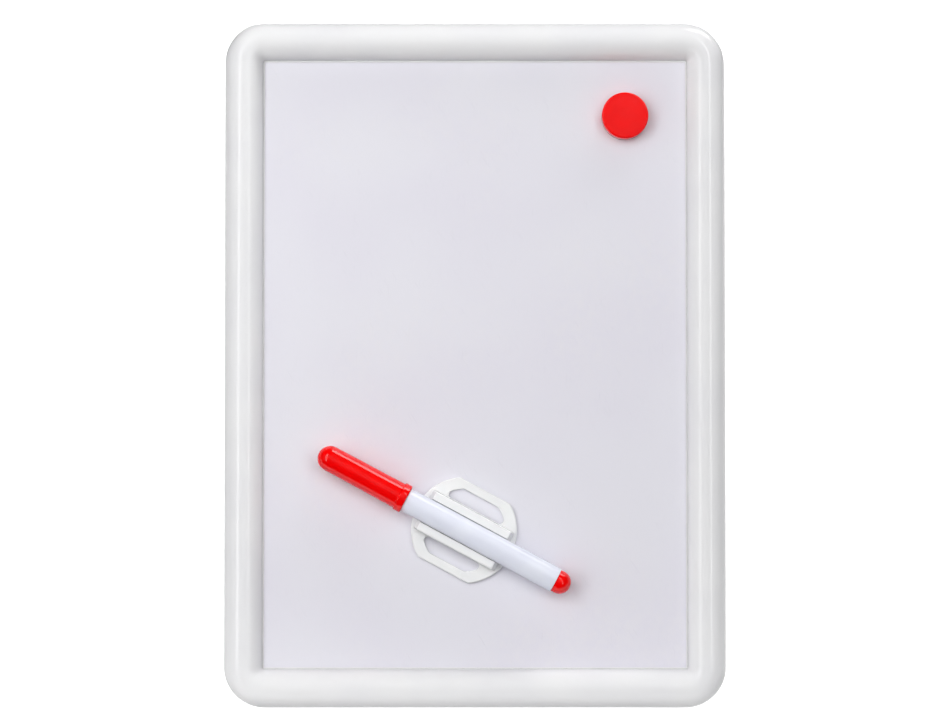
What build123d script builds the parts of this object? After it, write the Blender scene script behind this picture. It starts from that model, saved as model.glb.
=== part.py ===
from build123d import *
import math
import os

# A magnetic whiteboard that stands on a desk: a moulded bullnose bezel clamps a steel
# writing sheet and its backing, a hinged rear leg holds it up, and a round magnet and a
# pen holder with a marker cling to the sheet.
#
# Every piece is first made in the board's own frame, in millimetres: X to the right,
# Y backwards from the sheet's front face, Z up from the bezel's bottom edge. Heights
# called N are measured from the sheet's face towards the viewer, so N is -Y. At the end
# the whole board leans back and is set down on its feet with Z = 0 as the desk.

# ---- stance, in degrees and millimetres
LEAN = 20.0                     # the board leans back from upright by this
LEG_OPENING = 33.0              # between the board and the opened leg
FOOT_DROP = 0.5                 # from the bezel's lowest corner down to the desk

# ---- bezel
WIDTH = 216.0
HEIGHT = 295.3
BAR_WIDTH = 16.4
INNER_CORNER_RADIUS = 1.1
BAR_CROWN = 7.5                 # top of the bullnose above the sheet
REAR_DEPTH = 9.5                # reach of the outer wall behind the sheet's face
BEZEL_WALL = 2.2
LIP_COVER = 3.5                 # how far the lip overlaps the sheet's edge
RIB_THICKNESS = 1.2             # rib that locates the sheet and the core
EDGE_GAP = 0.3                  # sheet and core to that rib
BOSS_RADIUS = 3.0

# ---- the stack behind the lip
SHEET_THICKNESS = 0.5
CORE_THICKNESS = 3.0
COVER_THICKNESS = 2.0
COVER_GAP = 0.2                 # cover to the bezel's outer wall
COVER_PAD_RISE = 0.8            # raised panels that stiffen the cover
COVER_PAD_RADIUS = 7.0
COVER_PAD_SIDE_INSET = 22.0     # from the bezel's outer edges
COVER_PAD_TOP_INSET = 39.3
COVER_PAD_BASE = 42.0
COVER_PAD_LEG_GAP = 12.0        # to the widest part of the folded leg

# ---- cover screws
SIDE_SCREW_SPREAD = 120.0       # between the two screws along each long side
SCREW_RADIUS = 1.4
SCREW_LENGTH = 8.5              # under the head
SCREW_HEAD_RADIUS = 2.6
SCREW_HEAD_HEIGHT = 1.8
SCREW_HEAD_ROUND = 1.08
SCREW_TIP_CHAMFER = 0.7
SCREW_RECESS_LENGTH = 3.12
SCREW_RECESS_WIDTH = 0.7
SCREW_RECESS_DEPTH = 0.9
SCREW_TURN = 25.0               # each next screw's recess stands turned by this
SCREW_HOLE_GAP = 0.2            # cover hole around the screw
PILOT_GAP = 0.05                # boss hole around the screw
PILOT_SPARE = 1.0               # boss hole beyond the screw's tip

# ---- rubber feet under the bottom bar
FOOT_SIDE_INSET = 28.0          # foot's middle from the bezel's outer edge
FOOT_WIDTH = 20.0
FOOT_HEIGHT = 9.6
FOOT_REACH = 4.5                # behind the bezel's rear edge
FOOT_ROUND = 1.2
PEG_RADIUS = 2.0
PEG_BARB_RADIUS = 3.0
PEG_BARB_LENGTH = 1.8
PEG_HOLE_GAP = 0.1

# ---- hinge
HINGE_HEIGHT = 200.0            # axis above the bezel's bottom edge
PIN_RADIUS = 1.5
PIN_HEAD_RADIUS = 2.8
PIN_HEAD_LENGTH = 1.2
PIN_HEAD_ROUND = 0.6
PIN_TIP_CHAMFER = 0.375
PIN_TAIL = 1.6                  # beyond the retaining washer
PIN_GAP = 0.06                  # bores around the pin
PIN_LIFT = 0.3                  # pin head above the bracket's tab
WASHER_RADIUS = 2.8
WASHER_THICKNESS = 0.6
BRACKET_THICKNESS = 1.0
BRACKET_HEIGHT = 14.0
BRACKET_CORNER_RADIUS = 2.8
TAB_LENGTH = 12.0
BEND_RADIUS = 0.5               # inside the bracket's bend
EAR_RADIUS = 3.4
EAR_GAP = 0.3                   # knuckle to each ear
RIVET_SPACING = 7.6
RIVET_RADIUS = 1.25
RIVET_HEAD_RADIUS = 2.5
RIVET_HEAD_HEIGHT = 1.0
RIVET_HEAD_ROUND = 0.8
RIVET_TAIL_RADIUS = 2.2
RIVET_TAIL_HEIGHT = 0.8
RIVET_GAP = 0.05
RIVET_ROOM = 0.8                # core hole around the rivet's tail

# ---- leg
KNUCKLE_RADIUS = 3.2
KNUCKLE_WIDTH = 48.0
LEG_FOLD_GAP = 0.3              # folded leg to the cover
LEG_THICKNESS = 3.6
LEG_SKIN = 1.6
LEG_RIM = 1.8
LEG_RIB = 1.4
LEG_RIB_ROWS = 4
LEG_NECK_LENGTH = 12.0
LEG_SHOULDER_LENGTH = 9.0
LEG_SHOULDER_WIDTH = 58.0
LEG_TIP_WIDTH = 84.0
LEG_CORNER_RADIUS = 6.0
STOP_LENGTH = 6.0               # heel above the axis that meets the cover
STOP_GAP = 0.15
STOP_THICKNESS = 2.4
STOP_BITE = 0.96                # how deep the heel's root sits in the knuckle
PULL_WIDTH = 26.0
PULL_HEIGHT = 1.8
PULL_THICKNESS = 2.2
PULL_ROUND = 0.88
PULL_FROM_TIP = 22.0

# ---- rubber shoe on the leg
SHOE_LENGTH = 9.0
SHOE_PROUD = 0.5                # behind the leg's rear skin
SHOE_SIDE_INSET = 7.0           # from the leg's tip corners
SHOE_TONGUE = 6.0               # length of the leg's tongue in the shoe
SHOE_TONGUE_THICKNESS = 1.4
SHOE_SLOT_GAP = 0.05

# ---- round magnet
MAGNET_SIDE_INSET = 43.4        # centre from the bezel's right edge
MAGNET_TOP_INSET = 40.85        # centre below the bezel's top edge
MAGNET_RADIUS = 10.0
MAGNET_THICKNESS = 7.0
MAGNET_EDGE = 0.8
MAGNET_DISC_RADIUS = 8.0
MAGNET_DISC_THICKNESS = 3.0
POCKET_GAP = 0.05
SHEET_GAP = 0.05                # anything that clings to the sheet

# ---- pen holder; U runs along the pen towards its plug, V across it
HOLDER_X = -4.75
HOLDER_HEIGHT = 76.15           # centre above the bezel's bottom edge
PEN_ANGLE = 28.3                # the pen falls to the right by this
HOLDER_RADIUS = 22.8
HOLDER_WIDTH = 38.6             # across the pen
HOLDER_PLATE = 2.2
HOLDER_EDGE = 0.7
SLOT_NEAR = 9.5                 # slot's near side from the pen's axis
SLOT_WIDTH = 6.1
SLOT_END_RADIUS = 17.7          # circle that bounds the slot's ends
SLOT_FILLET = 1.7
SLOT_EDGE = 0.5
RAIL_LENGTH = 40.6
RAIL_HEIGHT = 8.9
RAIL_FOOT_WIDTH = 18.8
RAIL_TOP_WIDTH = 18.2
RAIL_END_SLOPE = 2.2            # each end of the rails leans in by this
RAIL_FILLET = 0.7
CHANNEL_FLOOR = 3.3
CHANNEL_GAP = 0.12
PEN_SEAT_GAP = 0.1
HOLDER_MAGNET_RADIUS = 5.0
HOLDER_MAGNET_THICKNESS = 2.0
HOLDER_MAGNET_U = 10.0

# ---- marker; S runs along its axis from the cap's tip
PEN_TIP_U = 70.4                # cap's tip to the holder's centre
CAP_LENGTH = 42.35
CAP_RADIUS = 5.5                # of the domed tip and behind it
CAP_MOUTH_RADIUS = 5.7          # in front of the collar
COLLAR_RADIUS = 6.3
COLLAR_LENGTH = 3.4
COLLAR_EDGE = 0.3
CAP_TIP_WALL = 2.0
CAP_TIP_BORE_RADIUS = 2.4
CAP_NECK_GAP = 0.1
BARREL_LENGTH = 72.65
BARREL_RADIUS = 5.25            # behind the cap
BARREL_END_RADIUS = 5.45
BARREL_WALL = 0.9               # at its thinnest, behind the cap
NECK_RADIUS = 4.3
NECK_LENGTH = 8.0
NOSE_LENGTH = 10.7
NOSE_FOOT_RADIUS = 4.0
NOSE_TIP_RADIUS = 2.6
SHOULDER_WALL = 2.3             # from the barrel's shoulder to its ink chamber
PLUG_RADIUS = 5.0
PLUG_STRAIGHT = 1.75
PLUG_SPIGOT = 6.0
PLUG_SPIGOT_WALL = 1.2
FIT_GAP = 0.05
NIB_RADIUS = 1.7
NIB_OUT = 5.3                   # nib beyond the nose
NIB_IN = 12.0                   # nib inside the reservoir
RESERVOIR_GAP = 0.2
RESERVOIR_END_GAP = 0.3
LINER_LENGTH = 16.0
LINER_WALL = 0.8
LINER_FLOOR = 1.0
LINER_SEAT = 1.0                # shelf in the cap that the liner rests on
LINER_NIB_ROOM = 4.7            # liner's floor to the nib

# ---- worked out from the sizes above
BULL_RADIUS = BAR_WIDTH / 2
BULL_N = BAR_CROWN - BULL_RADIUS
CORNER_RADIUS = BAR_WIDTH + INNER_CORNER_RADIUS
SEAT_INSET = BAR_WIDTH - LIP_COVER - EDGE_GAP
STACK_INSET = BAR_WIDTH - LIP_COVER
COVER_FRONT = SHEET_THICKNESS + CORE_THICKNESS
COVER_REAR = COVER_FRONT + COVER_THICKNESS
COVER_INSET = BEZEL_WALL + COVER_GAP
COVER_PAD_INNER = LEG_TIP_WIDTH / 2 + COVER_PAD_LEG_GAP
COVER_PAD_OUTER = WIDTH / 2 - COVER_PAD_SIDE_INSET
SCREW_INSET = (BEZEL_WALL + SEAT_INSET - RIB_THICKNESS) / 2
FOOT_X = WIDTH / 2 - FOOT_SIDE_INSET
MAGNET_X = WIDTH / 2 - MAGNET_SIDE_INSET
MAGNET_Z = HEIGHT - MAGNET_TOP_INSET
FLOOR = -REAR_DEPTH * math.sin(math.radians(LEAN)) - FOOT_DROP
HINGE_Y = COVER_REAR + BRACKET_THICKNESS + PIN_LIFT + PIN_HEAD_RADIUS
EAR_X = KNUCKLE_WIDTH / 2 + EAR_GAP
LEG_FRONT = COVER_REAR + LEG_FOLD_GAP - HINGE_Y
LEG_REAR = LEG_FRONT + LEG_THICKNESS
LEG_REACH = (
    HINGE_HEIGHT * math.cos(math.radians(LEAN))
    - HINGE_Y * math.sin(math.radians(LEAN))
    - FLOOR
) / math.cos(math.radians(LEG_OPENING - LEAN))
LEG_PANEL_END = LEG_REACH - SHOE_LENGTH
CHANNEL_RADIUS = BARREL_END_RADIUS + CHANNEL_GAP
PEN_N = CHANNEL_FLOOR + PEN_SEAT_GAP + BARREL_END_RADIUS
NOSE_FOOT_S = CAP_LENGTH - NECK_LENGTH
NOSE_TIP_S = NOSE_FOOT_S - NOSE_LENGTH
NIB_TIP_S = NOSE_TIP_S - NIB_OUT
CHAMBER_S = CAP_LENGTH + SHOULDER_WALL
BARREL_END_S = CAP_LENGTH + BARREL_LENGTH
CHAMBER_RADIUS = BARREL_RADIUS - BARREL_WALL
RESERVOIR_S = CHAMBER_S + RESERVOIR_END_GAP
RESERVOIR_END_S = BARREL_END_S - PLUG_SPIGOT - RESERVOIR_END_GAP
LINER_S = NIB_TIP_S - LINER_NIB_ROOM - LINER_FLOOR
CAP_BORE = NECK_RADIUS + CAP_NECK_GAP
PLUG_LENGTH = PLUG_STRAIGHT + PLUG_RADIUS

REACH = 1000.0                  # larger than the whole object, for cutting blocks


# ---- helpers
def plate(outline, n_low, n_high):
    """Extrude an outline drawn in the board's plane between two heights N."""
    return extrude(Plane.XZ.offset(n_low) * outline, n_high - n_low)


def board_outline(inset):
    """The bezel's outer outline, drawn in by an inset."""
    shape = RectangleRounded(
        WIDTH - 2 * inset, HEIGHT - 2 * inset, CORNER_RADIUS - inset
    )
    return Pos(0, HEIGHT / 2) * shape


def behind(x, z, y=COVER_REAR):
    """A plane behind the board that faces backwards, for fasteners."""
    return Plane(origin=(x, y, z), x_dir=(1, 0, 0), z_dir=(0, 1, 0))


def box_between(low, high):
    """A box given by its lowest and highest corners."""
    size = [b - a for a, b in zip(low, high)]
    return Pos(*low) * Box(*size, align=(Align.MIN, Align.MIN, Align.MIN))


def strip(left, bottom, right, top):
    """A flat rectangle given by its edges."""
    corner = (Align.MIN, Align.MIN)
    return Pos(left, bottom) * Rectangle(right - left, top - bottom, align=corner)


def spin(*points):
    """Revolve a closed profile of (S, radius) points about the S axis."""
    profile = make_face(Polyline(*points, close=True))
    return revolve(profile, Axis.X, 360)


def screw_spots():
    """Where the cover screws go: the four corners and two along each long side."""
    corner = CORNER_RADIUS - (CORNER_RADIUS - SCREW_INSET) / math.sqrt(2)
    spots = []
    for side in (-1, 1):
        for end in (-1, 1):
            corner_z = HEIGHT / 2 + end * (HEIGHT / 2 - corner)
            side_z = HEIGHT / 2 + end * SIDE_SCREW_SPREAD / 2
            spots.append((side * (WIDTH / 2 - corner), corner_z))
            spots.append((side * (WIDTH / 2 - SCREW_INSET), side_z))
    return spots


def rivet_spots():
    """Where the bracket rivets go, two in each bracket's tab."""
    x = EAR_X + BRACKET_THICKNESS + TAB_LENGTH / 2
    spots = []
    for side in (-1, 1):
        for row in (-1, 1):
            spots.append((side * x, HINGE_HEIGHT + row * RIVET_SPACING / 2))
    return spots


def desk_block():
    """Everything below the desk's surface, in the board's frame."""
    block = Pos(0, 0, FLOOR - REACH / 2) * Box(REACH, REACH, REACH)
    return Rot(LEAN, 0, 0) * block


# ---- bezel and the stack that it clamps
def ring(section):
    """Run a bar section round the board. X is the inset, Y the height N."""
    solid = None
    for turn in (0, 90, 180, 270):
        out = Vector(math.cos(math.radians(turn)), 0, math.sin(math.radians(turn)))
        run = Vector(-out.Z, 0, out.X)
        upright = turn % 180 == 0
        half = WIDTH / 2 if upright else HEIGHT / 2
        length = (HEIGHT if upright else WIDTH) - 2 * CORNER_RADIUS
        start = Vector(0, 0, HEIGHT / 2) + out * half - run * (length / 2)
        end = start + run * length
        bar = extrude(Plane(start, x_dir=-out, z_dir=run) * section, length)
        centre = end - out * CORNER_RADIUS
        turned = Plane(end, x_dir=-out, z_dir=run) * section
        corner = revolve(turned, Axis(centre, (0, -1, 0)), 90)
        solid = bar + corner if solid is None else solid + bar + corner
    return solid


def bar_solid_section(inset):
    """The bar's full outer section, drawn in by an inset."""
    round_top = Pos(BULL_RADIUS, BULL_N) * Circle(BULL_RADIUS - inset)
    below = strip(inset, -REAR_DEPTH, BAR_WIDTH - inset, BULL_N)
    return round_top + below


def make_frame_bezel():
    seat = strip(SEAT_INSET, -REAR_DEPTH, BAR_WIDTH, 0)
    rib = strip(SEAT_INSET - RIB_THICKNESS, -COVER_FRONT, SEAT_INSET, BAR_CROWN)
    section = bar_solid_section(0) - bar_solid_section(BEZEL_WALL) - seat
    section += rib & bar_solid_section(BEZEL_WALL / 2)
    bezel = ring(section)
    middle_of_wall = ring(bar_solid_section(BEZEL_WALL / 2))
    pilot_top = SCREW_LENGTH - COVER_REAR + PILOT_SPARE
    bosses = Sketch() + [Pos(x, z) * Circle(BOSS_RADIUS) for x, z in screw_spots()]
    bezel += plate(bosses, -COVER_FRONT, BAR_CROWN) & middle_of_wall
    pilot = SCREW_RADIUS + PILOT_GAP
    for x, z in screw_spots():
        bezel -= plate(Pos(x, z) * Circle(pilot), -COVER_FRONT, pilot_top)
    return bezel


def make_writing_sheet():
    return plate(board_outline(STACK_INSET), -SHEET_THICKNESS, 0)


def make_core_board():
    outline = board_outline(STACK_INSET)
    for x, z in rivet_spots():
        outline -= Pos(x, z) * Circle(RIVET_TAIL_RADIUS + RIVET_ROOM)
    return plate(outline, -COVER_FRONT, -SHEET_THICKNESS)


def make_rear_cover():
    outline = board_outline(COVER_INSET)
    for x, z in screw_spots():
        outline -= Pos(x, z) * Circle(SCREW_RADIUS + SCREW_HOLE_GAP)
    for x, z in rivet_spots():
        outline -= Pos(x, z) * Circle(RIVET_RADIUS + RIVET_GAP)
    for side in (-1, 1):
        peg = Circle(PEG_RADIUS + PEG_HOLE_GAP)
        outline -= Pos(side * FOOT_X, peg_height()) * peg
    cover = plate(outline, -COVER_REAR, -COVER_FRONT)
    pad_width = COVER_PAD_OUTER - COVER_PAD_INNER
    pad_height = HEIGHT - COVER_PAD_TOP_INSET - COVER_PAD_BASE
    pad = RectangleRounded(pad_width, pad_height, COVER_PAD_RADIUS)
    for side in (-1, 1):
        pad_x = side * (COVER_PAD_INNER + pad_width / 2)
        place = Pos(pad_x, COVER_PAD_BASE + pad_height / 2)
        cover += plate(place * pad, -COVER_REAR - COVER_PAD_RISE, -COVER_REAR)
    return cover


def make_screw():
    """A pan head screw, its head on the origin's upper side."""
    head = extrude(Circle(SCREW_HEAD_RADIUS), SCREW_HEAD_HEIGHT)
    top = head.edges().sort_by(Axis.Z)[-1]
    head = fillet(top, SCREW_HEAD_ROUND)
    for turn in (0, 90):
        arm = Rot(0, 0, turn) * Rectangle(SCREW_RECESS_LENGTH, SCREW_RECESS_WIDTH)
        floor = SCREW_HEAD_HEIGHT - SCREW_RECESS_DEPTH
        head -= extrude(Pos(0, 0, floor) * arm, SCREW_HEAD_HEIGHT)
    shank = extrude(Circle(SCREW_RADIUS), -SCREW_LENGTH)
    return head + chamfer(shank.edges().sort_by(Axis.Z)[0], SCREW_TIP_CHAMFER)


def make_cover_screws():
    screws = []
    for count, (x, z) in enumerate(screw_spots(), start=1):
        screws.append(behind(x, z) * Rot(0, 0, count * SCREW_TURN) * make_screw())
    return screws


# ---- feet
def peg_height():
    """Height of the foot's peg: the middle of the hollow in the bottom bar."""
    return SCREW_INSET


def make_foot(side):
    """An L-shaped rubber foot pegged in the cover, which hooks under the bezel."""
    low = COVER_INSET
    left = side * FOOT_X - FOOT_WIDTH / 2
    right = side * FOOT_X + FOOT_WIDTH / 2
    top = low + FOOT_HEIGHT
    rear = REAR_DEPTH + FOOT_REACH
    inner = box_between((left, COVER_REAR, low), (right, REAR_DEPTH, top))
    outer = box_between((left, REAR_DEPTH, -FOOT_HEIGHT), (right, rear, top))
    upright = outer.edges().filter_by(Axis.Y).group_by(Axis.Z)[-1]
    outer = fillet(upright, FOOT_ROUND)
    foot = inner + outer - desk_block()
    peg = Circle(PEG_RADIUS)
    foot += behind(side * FOOT_X, peg_height()) * extrude(peg, -COVER_THICKNESS)
    on_base = (Align.CENTER, Align.CENTER, Align.MIN)
    barb = Cone(PEG_RADIUS, PEG_BARB_RADIUS, PEG_BARB_LENGTH, align=on_base)
    seat = behind(side * FOOT_X, peg_height(), COVER_FRONT - PEG_BARB_LENGTH)
    return foot + seat * barb


# ---- hinge
def across(x):
    """A plane across the hinge at X; its X is the board's Y and its Y the board's Z."""
    origin = (x, HINGE_Y, HINGE_HEIGHT)
    return Plane(origin=origin, x_dir=(0, 1, 0), z_dir=(1, 0, 0))


def make_hinge_bracket(side):
    """A bent steel strip: an ear for the pin and a tab riveted to the cover."""
    base = COVER_REAR - HINGE_Y
    half = BRACKET_HEIGHT / 2
    corners = [(base, -half), (0, -EAR_RADIUS), (0, EAR_RADIUS), (base, half)]
    outline = make_face(Polyline(*corners, close=True)) + Circle(EAR_RADIUS)
    ear = outline - Circle(PIN_RADIUS + PIN_GAP)
    bracket = extrude(across(EAR_X) * ear, BRACKET_THICKNESS)
    outer_x = EAR_X + BRACKET_THICKNESS
    top = COVER_REAR + BRACKET_THICKNESS
    low = HINGE_HEIGHT - half
    high = HINGE_HEIGHT + half
    tab = box_between((EAR_X, COVER_REAR, low), (outer_x + TAB_LENGTH, top, high))
    tab_ends = tab.edges().filter_by(Axis.Y).group_by(Axis.X)[-1]
    tab = fillet(tab_ends, BRACKET_CORNER_RADIUS)
    bend = box_between((outer_x, top, low), (outer_x + BEND_RADIUS, top + BEND_RADIUS, high))
    inside = Pos(outer_x + BEND_RADIUS, top + BEND_RADIUS, HINGE_HEIGHT)
    bend -= inside * Cylinder(BEND_RADIUS, BRACKET_HEIGHT)
    bend &= extrude(across(outer_x) * outline, BEND_RADIUS)
    bracket = bracket + tab + bend
    for x, z in rivet_spots():
        hole = Cylinder(RIVET_RADIUS + RIVET_GAP, REACH)
        bracket -= behind(abs(x), z) * hole
    return bracket if side > 0 else mirror(bracket, Plane.YZ)


def make_bracket_rivets():
    """Rivets with a domed head behind the tab and a set tail in front of the cover."""
    head_y = COVER_REAR + BRACKET_THICKNESS
    rivets = []
    for x, z in rivet_spots():
        head = extrude(Circle(RIVET_HEAD_RADIUS), RIVET_HEAD_HEIGHT)
        rim = head.edges().sort_by(Axis.Z)[-1]
        head = fillet(rim, RIVET_HEAD_ROUND)
        grip = BRACKET_THICKNESS + COVER_THICKNESS
        shank = extrude(Circle(RIVET_RADIUS), -grip)
        tail = extrude(Pos(0, 0, -grip) * Circle(RIVET_TAIL_RADIUS), -RIVET_TAIL_HEIGHT)
        rivets.append(behind(x, z, head_y) * (head + shank + tail))
    return rivets


def make_hinge_pin():
    start = -EAR_X - BRACKET_THICKNESS
    end = EAR_X + BRACKET_THICKNESS + WASHER_THICKNESS + PIN_TAIL
    head = extrude(Circle(PIN_HEAD_RADIUS), -PIN_HEAD_LENGTH)
    head = fillet(head.edges().sort_by(Axis.Z)[0], PIN_HEAD_ROUND)
    shank = extrude(Circle(PIN_RADIUS), end - start)
    shank = chamfer(shank.edges().sort_by(Axis.Z)[-1], PIN_TIP_CHAMFER)
    return across(start) * (head + shank)


def make_pin_retaining_washer():
    ring_face = Circle(WASHER_RADIUS) - Circle(PIN_RADIUS + PIN_GAP)
    return extrude(across(EAR_X + BRACKET_THICKNESS) * ring_face, WASHER_THICKNESS)


# ---- leg, made folded against the cover with its axis as origin, then opened
def open_leg(piece):
    """Turn a piece from the folded leg's place into the opened one."""
    return Pos(0, HINGE_Y, HINGE_HEIGHT) * Rot(LEG_OPENING, 0, 0) * piece


def leg_layer(outline, y_low, y_high):
    """Extrude an outline in the leg's plane between two depths from the axis."""
    return extrude(Plane.XZ.offset(-y_high) * outline, y_high - y_low)


def leg_half_width(distance):
    """Half the leg's width at a distance below its shoulder."""
    shoulder = LEG_NECK_LENGTH + LEG_SHOULDER_LENGTH
    share = (distance - shoulder) / (LEG_REACH - shoulder)
    return (LEG_SHOULDER_WIDTH + (LEG_TIP_WIDTH - LEG_SHOULDER_WIDTH) * share) / 2


def leg_outline():
    neck = KNUCKLE_WIDTH / 2
    shoulder = LEG_NECK_LENGTH + LEG_SHOULDER_LENGTH
    tip = leg_half_width(LEG_PANEL_END)
    right = [
        (neck, 0),
        (neck, -LEG_NECK_LENGTH),
        (LEG_SHOULDER_WIDTH / 2, -shoulder),
        (tip, -LEG_PANEL_END),
    ]
    left = [(-x, z) for x, z in reversed(right)]
    face = make_face(Polyline(*right, *left, close=True))
    tips = face.vertices().group_by(Axis.Y)[0]
    return fillet(tips, LEG_CORNER_RADIUS)


def leg_pockets():
    """The cored-out fields on the leg's board side, between its ribs."""
    top = -KNUCKLE_RADIUS - LEG_RIM
    bottom = -LEG_PANEL_END + LEG_RIM
    field = offset(leg_outline(), amount=-LEG_RIM)
    field &= strip(-WIDTH, bottom, WIDTH, top)
    field -= strip(-LEG_RIB / 2, bottom, LEG_RIB / 2, top)
    pitch = (top - bottom) / (LEG_RIB_ROWS + 1)
    for row in range(1, LEG_RIB_ROWS + 1):
        middle = top - row * pitch
        field -= strip(-WIDTH, middle - LEG_RIB / 2, WIDTH, middle + LEG_RIB / 2)
    return field


def make_stop_heel():
    """The heel above the knuckle, shaped in the leg's opened pose."""
    face_y = COVER_REAR + STOP_GAP - HINGE_Y
    root = KNUCKLE_RADIUS - STOP_BITE
    heel = make_face(
        Polyline(
            (face_y, 0),
            (0, 0),
            (root, root),
            (face_y + STOP_THICKNESS, STOP_LENGTH),
            (face_y, STOP_LENGTH),
            close=True,
        )
    )
    section = Plane(origin=(-KNUCKLE_WIDTH / 2, 0, 0), x_dir=(0, 1, 0), z_dir=(1, 0, 0))
    return Rot(-LEG_OPENING, 0, 0) * extrude(section * heel, KNUCKLE_WIDTH)


def make_easel_leg():
    along = Rot(0, 90, 0)
    leg = leg_layer(leg_outline(), LEG_FRONT, LEG_REAR)
    leg -= leg_layer(leg_pockets(), LEG_FRONT, LEG_REAR - LEG_SKIN)
    leg += along * Cylinder(KNUCKLE_RADIUS, KNUCKLE_WIDTH)
    leg += make_stop_heel()
    tongue_half = leg_half_width(LEG_PANEL_END) - SHOE_SIDE_INSET - LEG_RIM
    middle = (LEG_FRONT + LEG_REAR) / 2
    leg += box_between(
        (-tongue_half, middle - SHOE_TONGUE_THICKNESS / 2, -LEG_PANEL_END - SHOE_TONGUE),
        (tongue_half, middle + SHOE_TONGUE_THICKNESS / 2, -LEG_PANEL_END + LEG_RIM / 2),
    )
    pull_z = PULL_FROM_TIP - LEG_REACH
    pull = box_between(
        (-PULL_WIDTH / 2, LEG_REAR - LEG_SKIN / 2, pull_z),
        (PULL_WIDTH / 2, LEG_REAR + PULL_HEIGHT, pull_z + PULL_THICKNESS),
    )
    leg += fillet(pull.edges().filter_by(Axis.Y), PULL_ROUND)
    leg -= along * Cylinder(PIN_RADIUS + PIN_GAP, REACH)
    return open_leg(leg)


def make_leg_shoe():
    half = leg_half_width(LEG_PANEL_END) - SHOE_SIDE_INSET
    shoe = box_between(
        (-half, LEG_FRONT, -LEG_REACH - SHOE_LENGTH),
        (half, LEG_REAR + SHOE_PROUD, -LEG_PANEL_END),
    )
    middle = (LEG_FRONT + LEG_REAR) / 2
    slot_half = SHOE_TONGUE_THICKNESS / 2 + SHOE_SLOT_GAP
    tongue_half = half - LEG_RIM + SHOE_SLOT_GAP
    shoe -= box_between(
        (-tongue_half, middle - slot_half, -LEG_PANEL_END - SHOE_TONGUE - SHOE_SLOT_GAP),
        (tongue_half, middle + slot_half, -LEG_PANEL_END),
    )
    return open_leg(shoe) - desk_block()


# ---- round magnet
def magnet_plane():
    """On the sheet under the round magnet, facing the viewer."""
    origin = (MAGNET_X, -SHEET_GAP, MAGNET_Z)
    return Plane(origin=origin, x_dir=(1, 0, 0), z_dir=(0, -1, 0))


def make_magnet_shell():
    shell = extrude(Circle(MAGNET_RADIUS), MAGNET_THICKNESS)
    shell = fillet(shell.edges().sort_by(Axis.Z)[-1], MAGNET_EDGE)
    pocket = Circle(MAGNET_DISC_RADIUS + POCKET_GAP)
    shell -= extrude(pocket, MAGNET_DISC_THICKNESS + POCKET_GAP)
    return magnet_plane() * shell


def make_magnet_disc():
    return magnet_plane() * extrude(Circle(MAGNET_DISC_RADIUS), MAGNET_DISC_THICKNESS)


# ---- pen holder
def holder_plane():
    """On the sheet under the holder: X is U, Y is V and Z faces the viewer."""
    fall = math.radians(PEN_ANGLE)
    origin = (HOLDER_X, -SHEET_GAP, HOLDER_HEIGHT)
    return Plane(origin=origin, x_dir=(math.cos(fall), 0, -math.sin(fall)), z_dir=(0, -1, 0))


def holder_slot(side):
    """One through slot: a band cut off by the holder's round ends."""
    band = Pos(0, SLOT_NEAR + SLOT_WIDTH / 2) * Rectangle(HOLDER_RADIUS * 2, SLOT_WIDTH)
    slot = Circle(SLOT_END_RADIUS) & band
    slot = fillet(slot.vertices(), SLOT_FILLET)
    return slot if side > 0 else mirror(slot, Plane.XZ)


def make_holder_clip():
    outline = Circle(HOLDER_RADIUS) & Rectangle(HOLDER_RADIUS * 2, HOLDER_WIDTH)
    clip = extrude(outline, HOLDER_PLATE)
    clip = fillet(clip.edges().group_by(Axis.Z)[-1], HOLDER_EDGE)
    for side in (-1, 1):
        slot = extrude(holder_slot(side), HOLDER_PLATE)
        clip -= slot
    rims = [e for e in clip.edges().group_by(Axis.Z)[-1] if is_slot_edge(e)]
    clip = fillet(rims, SLOT_EDGE)
    clip += make_rails()
    centre = CHANNEL_FLOOR + CHANNEL_RADIUS
    bore = Pos(0, 0, centre) * Rot(0, 90, 0) * Cylinder(CHANNEL_RADIUS, REACH)
    mouth = box_between(
        (-HOLDER_RADIUS, -CHANNEL_RADIUS, centre),
        (HOLDER_RADIUS, CHANNEL_RADIUS, centre + RAIL_HEIGHT),
    )
    clip = clip - bore - mouth
    for side in (-1, 1):
        pocket = Circle(HOLDER_MAGNET_RADIUS + POCKET_GAP)
        place = Pos(side * HOLDER_MAGNET_U, 0, 0)
        clip -= extrude(place * pocket, HOLDER_MAGNET_THICKNESS + POCKET_GAP)
    return holder_plane() * clip


def is_slot_edge(edge):
    """True for the edges on the plate's face that bound the two slots."""
    middle = edge.center()
    return math.hypot(middle.X, middle.Y) < SLOT_END_RADIUS + HOLDER_EDGE


def make_rails():
    """The block that becomes two rails, sloped outside and at its ends."""
    foot = RAIL_FOOT_WIDTH / 2
    top = RAIL_TOP_WIDTH / 2
    across_pen = make_face(
        Polyline((-foot, 0), (foot, 0), (top, RAIL_HEIGHT), (-top, RAIL_HEIGHT), close=True)
    )
    low = RAIL_LENGTH / 2
    high = low - RAIL_END_SLOPE
    along_pen = make_face(
        Polyline((-low, 0), (low, 0), (high, RAIL_HEIGHT), (-high, RAIL_HEIGHT), close=True)
    )
    section = Plane(origin=(-low, 0, 0), x_dir=(0, 1, 0), z_dir=(1, 0, 0))
    profile = Plane.XZ.offset(-foot)
    block = extrude(section * across_pen, RAIL_LENGTH)
    block &= extrude(profile * along_pen, RAIL_FOOT_WIDTH)
    upper = [e for e in block.edges() if e.center().Z > RAIL_HEIGHT / 4]
    return fillet(upper, RAIL_FILLET)


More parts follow.
